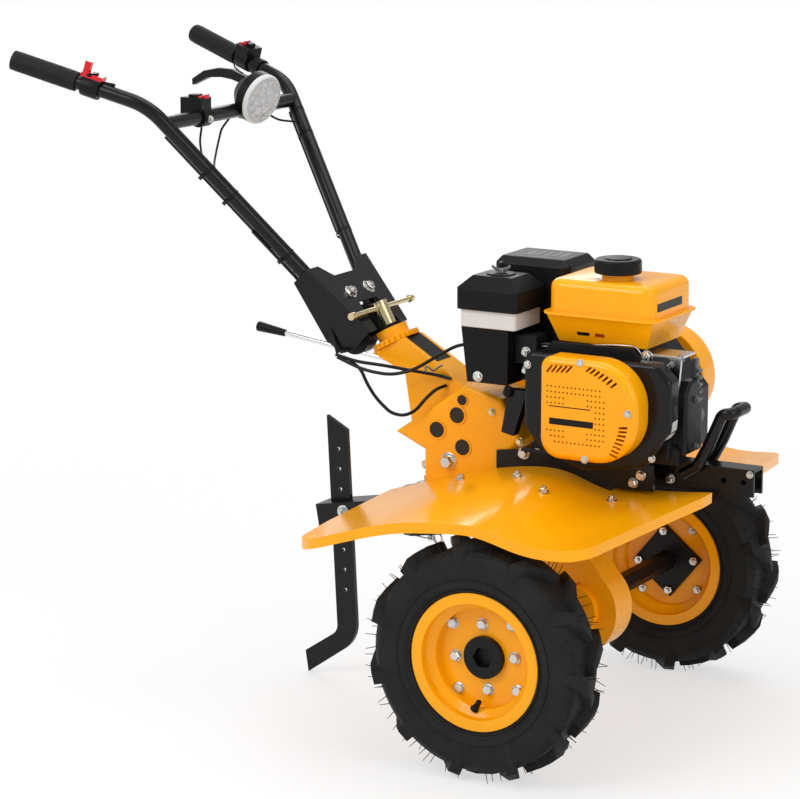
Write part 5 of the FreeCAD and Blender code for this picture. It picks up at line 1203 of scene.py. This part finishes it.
    def cleaner(self, shop: Workshop) -> None:
        """Adds the air cleaner's disc, stud and wing nut."""
        top = spot(-135.0, -58.0, 0.0)
        top.z = shop.seat("air_cleaner_cover", (-118.0, -42.0, 790.0), -UP).z
        disc = Forge.lathe([(0.0, -1.0), (25.0, -1.0), (25.0, 1.2), (23.5, 2.4), (9.0, 3.0), (0.0, 3.0)], 48)
        shop.piece("cleaner_disc", Forge.moved(disc, top), BLACK_PLASTIC, Body.CHASSIS)
        hub = Forge.lathe([(0.0, 2.0), (6.5, 2.0), (6.0, 9.0), (4.0, 11.0), (2.8, 11.0), (2.8, 21.0),
                           (1.8, 22.0), (0.0, 22.0)], 24)
        parts = [hub]
        for sign in (1.0, -1.0):
            corners = ((4.0, 4.0), (9.0, 5.0), (17.0, 12.0), (15.0, 16.0), (9.0, 12.0), (4.0, 10.0))
            outline = [Vector((sign * out, -1.3, level)) * MM for out, level in corners]
            parts.append(Forge.prism(outline, LEFT * 2.6 * MM, 0.7))
        turned = Matrix.Translation(top) @ Matrix.Rotation(math.radians(25), 4, "Z")
        shop.piece("cleaner_wing_nut", Forge.moved(Forge.joined(parts), turned), GREY_METAL, Body.CHASSIS)

    def cap(self, shop: Workshop) -> None:
        """Adds the grip lobes round the fuel cap."""
        low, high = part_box("fuel_cap")
        middle = Vector(((low[0] + high[0]) / 2, (low[1] + high[1]) / 2, low[2]))
        radius = (high[0] - low[0]) / 2
        rim = radius - 0.0021
        parts = []
        for count in range(self.grip_lobes):
            turn = math.tau * count / self.grip_lobes
            at = middle + Vector((math.cos(turn) * rim, math.sin(turn) * rim, 0.003))
            parts.append(Forge.moved(Forge.rod(2.6, 15.0, 10, 2.2), at))
        lid = Forge.lathe([(0.0, 0.0), (24.0, 0.0), (23.0, 2.0), (19.0, 2.6), (0.0, 2.2)], 48)
        parts.append(Forge.moved(lid, Vector((middle.x, middle.y, high[2] - 0.0002))))
        shop.piece("fuel_cap_grip", Forge.joined(parts), BLACK_PLASTIC, Body.CHASSIS)

    def governor(self, shop: Workshop) -> None:
        """Adds the governor's shaft, spring and rod, the choke rod and the oil riser."""
        shaft = Forge.lathe([(0.0, 0.0), (6.5, 0.0), (6.5, 9.0), (4.6, 10.0), (4.6, 17.0), (6.2, 18.0),
                             (6.2, 24.0), (4.2, 25.0), (4.2, 33.0), (7.0, 34.0), (7.0, 41.0), (5.5, 43.0),
                             (0.0, 43.0)], 24)
        Forge.moved(shaft, aimed(spot(180.0, -80.0, 655.0), Vector((34.0, 14.0, 24.0))))
        shop.piece("governor_shaft", shaft, GREY_METAL, Body.CHASSIS)
        start, run = Vector((158.0, -79.0, 652.0)), Vector((52.0, 14.0, 12.0))
        side = run.cross(UP).normalized()
        over = side.cross(run).normalized()
        coil = []
        for step in range(self.spring_steps + 1):
            share = step / self.spring_steps
            turn = math.tau * self.spring_turns * share
            dot = start + run * share + (side * math.cos(turn) + over * math.sin(turn)) * 3.4
            coil.append(spot(*dot))
        shop.strand("governor_spring", coil, 0.8, BRIGHT_ZINC, Body.CHASSIS, straight=True)
        rod = ((150, -79, 660), (142, -84, 690), (120, -90, 694), (40, -86, 686), (-50, -70, 672))
        shop.strand("governor_rod", spots(rod), 1.3, BRIGHT_ZINC, Body.CHASSIS)
        choke = ((-58, -62, 672), (-40, -70, 680), (-20, -82, 676), (-10, -88, 668))
        shop.strand("choke_rod", spots(choke), 1.5, GREY_METAL, Body.CHASSIS)
        fins = [Forge.block(spot(214.0, -18.0, level), spot(222.0, -4.0, level + 5.0), 0.8)
                for level in (596.0, 608.0, 620.0, 632.0, 644.0)]
        fins.append(Forge.block(spot(206.0, -16.0, 590.0), spot(216.0, -6.0, 668.0), 2.0))
        shop.piece("oil_riser", Forge.joined(fins), GREY_METAL, Body.CHASSIS)

    @staticmethod
    def mount() -> BMesh:
        """The engine's front right foot, a sloped block over the frame."""
        corners = ((150.0, 494.0), (212.0, 494.0), (212.0, 520.0), (196.0, 532.0), (168.0, 532.0))
        return Forge.prism([spot(ahead, -80.0, level) for ahead, level in corners], LEFT * 38.0 * MM, 3.0)

    @staticmethod
    def starter() -> BMesh:
        """The recoil starter's handle beside the cover's rear edge."""
        low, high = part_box("cooling_duct")
        middle = Vector(((low[0] + high[0]) / 2 - 0.012, low[1] - 0.002, high[2] - 0.012))
        grip = Forge.lathe([(0.0, 0.0), (6.0, 0.0), (9.0, 3.0), (9.5, 10.0), (8.0, 16.0), (5.0, 18.0),
                            (0.0, 18.0)], 24)
        return Forge.moved(grip, aimed(middle, Vector((0.25, 0.0, 1.0))))


@dataclass
class Handlebar:
    """Swivel, plate, tubes, grips, levers, switches and the lamp."""

    def build(self, shop: Workshop) -> None:
        """Dresses the handlebar's solids and adds what is on them."""
        shop.dress("swivel_block", BLACK_CAST, Body.SWIVEL, 1.0)
        shop.dress("clamp_nut", GOLD_ZINC, Body.SWIVEL, 0.7)
        for node, finish, edge in (
                ("handle_plate", BLACK_PAINT, 0.6),
                ("tilt_bolt", BLACK_CAST, 0.8),
                ("handle_tube_left", BLACK_PAINT, 0.0),
                ("handle_tube_right", BLACK_PAINT, 0.0),
                ("crossbar", BLACK_PAINT, 0.0),
                ("grip_left", GRIP_RUBBER, 1.5),
                ("grip_right", GRIP_RUBBER, 1.5),
                ("headlamp_shell", BLACK_PLASTIC, 1.5),
                ("headlamp_lens", LENS, 1.0),
                ("lamp_switch", BLACK_PLASTIC, 1.5),
                ("stop_switch", BLACK_PLASTIC, 1.5),
                ("throttle_lever", RED_PLASTIC, 1.5),
                ("clutch_lever", BLACK_PLASTIC, 1.5),
                ("handle_cable_left", CABLE_COVER, 0.0),
                ("handle_cable_right", CABLE_COVER, 0.0),
                ("lamp_wire", CABLE_COVER, 0.0),
                ("switch_wire", CABLE_COVER, 0.0),
                ("far_wire", CABLE_COVER, 0.0)):
            shop.dress(node, finish, Body.HANDLEBAR, edge)
        shop.piece("tube_clips", self.clips(), BLACK_PLASTIC, Body.HANDLEBAR)
        shop.piece("lamp_bezel", self.bezel(), PALE_PLASTIC, Body.HANDLEBAR)
        shop.piece("rockers", self.rockers(shop), RED_PLASTIC, Body.HANDLEBAR)
        shop.piece("grip_ribs", self.ribs(), GRIP_RUBBER, Body.HANDLEBAR)
        shop.piece("throttle_housing", self.throttle(), BLACK_PLASTIC, Body.HANDLEBAR)
        shop.fixings("handlebar_bolts", self.bolts(), BRIGHT_ZINC, Body.HANDLEBAR)
        shop.piece("lamp_cells", self.cells(), LENS, Body.HANDLEBAR)
        for name, side in SIDES:
            shop.strand(f"cable_run_{name}", self.cable_run(side), 3.0, CABLE_COVER, Body.HANDLEBAR)
        tail = ((-868, 252, 1096), (-875, 250, 1088), (-868, 248, 1072), (-848, 243, 1066))
        shop.strand("stop_wire", spots(tail), 1.5, CABLE_COVER, Body.HANDLEBAR)

    @staticmethod
    def tube_point(side: float, share: float) -> tuple[Vector, Vector]:
        """A point of a tube's long straight part and the tube's heading there.

        Args:
            side: 1 for the left tube, -1 for the right.
            share: 0 at the plate, 1 at the upper bend.

        Returns:
            The point in metres and the heading.
        """
        low, high = sided(TUBE_FOOT, side), sided(TUBE_BEND, side)
        return low.lerp(high, share), (high - low).normalized()

    def clips(self) -> BMesh:
        """Bands that hold the cables to the underside of the tubes."""
        parts = []
        for side, share in ((1.0, 0.83), (1.0, 0.70), (1.0, 0.16), (-1.0, 0.62), (-1.0, 0.47), (-1.0, 0.12)):
            at, run = self.tube_point(side, share)
            under = below(run)
            out = run.cross(under).normalized()
            lie = Matrix((under, out, run)).transposed().to_4x4()
            band = Forge.lathe([(16.4, -3.0), (17.2, -2.4), (17.2, 2.4), (16.4, 3.0)], 32, closed=True)
            bmesh.ops.scale(band, verts=band.verts, vec=(1.0, 0.83, 1.0))
            parts.append(Forge.moved(band, Matrix.Translation(at + under * 3.4 * MM) @ lie))
            knot = Forge.block(Vector((0.012, -0.003, -0.0035)), Vector((0.022, 0.003, 0.0035)), 1.0)
            parts.append(Forge.moved(knot, Matrix.Translation(at) @ lie))
        return Forge.joined(parts)

    def cable_run(self, side: float) -> list[Vector]:
        """The route of a cable from under a tube down behind the plate's flange."""
        route = []
        for share in (0.3, 0.2, 0.1, 0.0):
            at, run = self.tube_point(side, share)
            route.append(at + below(run) * 16.3 * MM)
        return route + [sided(place, side) for place in ((-484, 78, 704), (-462, 79, 664), (-449, 80, 622))]

    @staticmethod
    def lamp_lie(behind: float) -> Matrix:
        """The matrix that stands a shape's +Z along the headlamp's axis.

        Args:
            behind: how far behind the lamp's face the shape's origin goes, in mm.

        Returns:
            The 4x4 matrix.
        """
        toe = Matrix.Rotation(math.radians(LAMP_TOE), 4, "Z")
        dip = Matrix.Rotation(math.radians(LAMP_DIP), 4, "Y")
        aim = toe @ dip @ FORWARD
        return aimed(spot(*LAMP_FACE) - aim * behind * MM, aim)

    def cells(self) -> BMesh:
        """The lamp's round light cells behind its glass: one, a ring of six and a ring of smaller ones."""
        lie = self.lamp_lie(14.5)
        cell = Forge.lathe([(0.0, 0.0), (8.6, 0.0), (8.6, 1.0), (7.4, 1.8), (3.0, 0.9), (0.0, 0.8)], 32)
        parts = []
        for radius, number, first, size in ((0.0, 1, 0.0, 1.0), (19.5, 6, 0.0, 1.0), (34.5, 12, 0.5, 0.62)):
            for count in range(number):
                turn = math.tau * (count + first) / number
                step = Vector((math.cos(turn), math.sin(turn), 0.0)) * radius * MM
                sized = Matrix.Diagonal((size, size, 1.0, 1.0))
                parts.append(Forge.copied(cell, lie @ Matrix.Translation(step) @ sized))
        cell.free()
        return Forge.joined(parts)

    def bezel(self) -> BMesh:
        """The pale ring round the headlamp's lens."""
        ring = Forge.lathe([(42.6, -1.0), (46.8, -1.0), (46.8, 5.0), (45.5, 7.6), (43.6, 9.0),
                            (42.6, 8.6)], 72, closed=True)
        return Forge.moved(ring, self.lamp_lie(22.0))

    @staticmethod
    def rockers(shop: Workshop) -> BMesh:
        """The red rockers of the stop switch and the lamp switch."""
        parts = []
        for node, near in (("stop_switch", (-850.0, 253.0, 1125.0)),
                           ("lamp_switch", (-716.0, -95.0, 1064.0))):
            at = shop.seat(node, near, -UP)
            corners = ((-9.0, -2.0), (9.0, -2.0), (9.0, 6.0), (0.0, 2.5), (-9.0, 3.0))
            outline = [Vector((ahead, -8.0, level)) * MM for ahead, level in corners]
            parts.append(Forge.moved(Forge.prism(outline, LEFT * 16.0 * MM, 1.2), at))
        return Forge.joined(parts)

    @staticmethod
    def grip_run(side: float) -> tuple[Vector, Vector]:
        """The rear end of the left grip (1) or the right one (-1), and the grip's heading there."""
        end = sided(GRIP_END, side)
        return end, (end - sided(TUBE_BEND, side)).normalized()

    def ribs(self) -> BMesh:
        """Finger ridges under both grips and the rings round their ends."""
        parts = []
        for _, side in SIDES:
            end, run = self.grip_run(side)
            under = below(run)
            for step in range(5):
                at = end - run * (16.0 + 22.0 * step) * MM
                swell = bmesh.new()
                bmesh.ops.create_uvsphere(swell, u_segments=20, v_segments=12, radius=9.0 * MM)
                bmesh.ops.scale(swell, verts=swell.verts, vec=(1.5, 0.9, 0.95))
                parts.append(Forge.moved(swell, aimed(at + under * 9.5 * MM, run)))
            for step in range(26):
                ring = Forge.lathe([(16.5, -1.0), (17.9, -0.7), (17.9, 0.7), (16.5, 1.0)], 28, closed=True)
                parts.append(Forge.moved(ring, aimed(end - run * (8.0 + 4.2 * step) * MM, run)))
        return Forge.joined(parts)

    def throttle(self) -> BMesh:
        """The throttle lever's black clamp and the cable's elbow."""
        end, run = self.grip_run(-1.0)
        at = end - run * 0.150
        collar = Forge.lathe([(13.2, -16.5), (18.6, -16.5), (19.4, -14.0), (19.4, 14.0), (18.6, 16.5),
                              (13.2, 16.5)], 40, closed=True)
        parts = [Forge.moved(collar, aimed(at, run))]
        drum = Forge.lathe([(0.0, 0.0), (12.0, 0.0), (13.0, 1.5), (13.0, 6.0), (0.0, 6.0)], 32)
        parts.append(Forge.moved(drum, aimed(at + Vector((0.0, 0.0, 0.0185)), UP)))
        elbow = Forge.rod(3.6, 30.0, 16, 3.0)
        parts.append(Forge.moved(elbow, aimed(at + Vector((0.012, 0.004, 0.008)), -run + UP * 0.15)))
        return Forge.joined(parts)

    @staticmethod
    def bolts() -> list[Fixing]:
        """The plate's two bolts and the screws of the lamp switch and the headlamp."""
        slope = math.radians(44.5)
        into = Vector((-math.sin(slope), 0.0, -math.cos(slope)))
        rows = [Fixing("handle_plate", (-449.0, side * 31.0, 726.0), into, 9.5, 7.0, 13.0, 3.0)
                for _, side in SIDES]
        rows += [Fixing("lamp_switch", (-702.0, -95.0, 1024.0), -FORWARD, 4.5, 4.0, 6.5),
                 Fixing("headlamp_shell", (-704.0, 48.0, 1010.0), -FORWARD, 5.0, 4.5, 7.0)]
        return rows


@dataclass
class Hitch:
    """Drag arm and depth stake."""

    def build(self, shop: Workshop) -> None:
        """Dresses the arm and the stake."""
        shop.dress("drag_arm", BLACK_PAINT, Body.DRAWBAR, 1.0)
        shop.dress("depth_stake", BLACK_PAINT, Body.STAKE, 0.8)
        bolts = [Fixing("drag_arm", (-470.0, side * 28.0, 320.0), -LEFT * side, 8.5, 7.0, 12.0, 4.0)
                 for _, side in SIDES]
        shop.fixings("arm_bolts", bolts, BRIGHT_ZINC, Body.DRAWBAR)


def main() -> None:
    """Builds every sub-assembly in order, then the studio."""
    logging.basicConfig(level=logging.INFO, format="%(name)s: %(message)s")
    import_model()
    shop = Workshop()
    for assembly in (Wheels(), Chassis(), Engine(), Handlebar(), Hitch()):
        log.info("building %s", type(assembly).__name__)
        assembly.build(shop)
    Studio().build()
    log.info("%d pieces", len(shop.made))


if __name__ == "__main__":
    main()
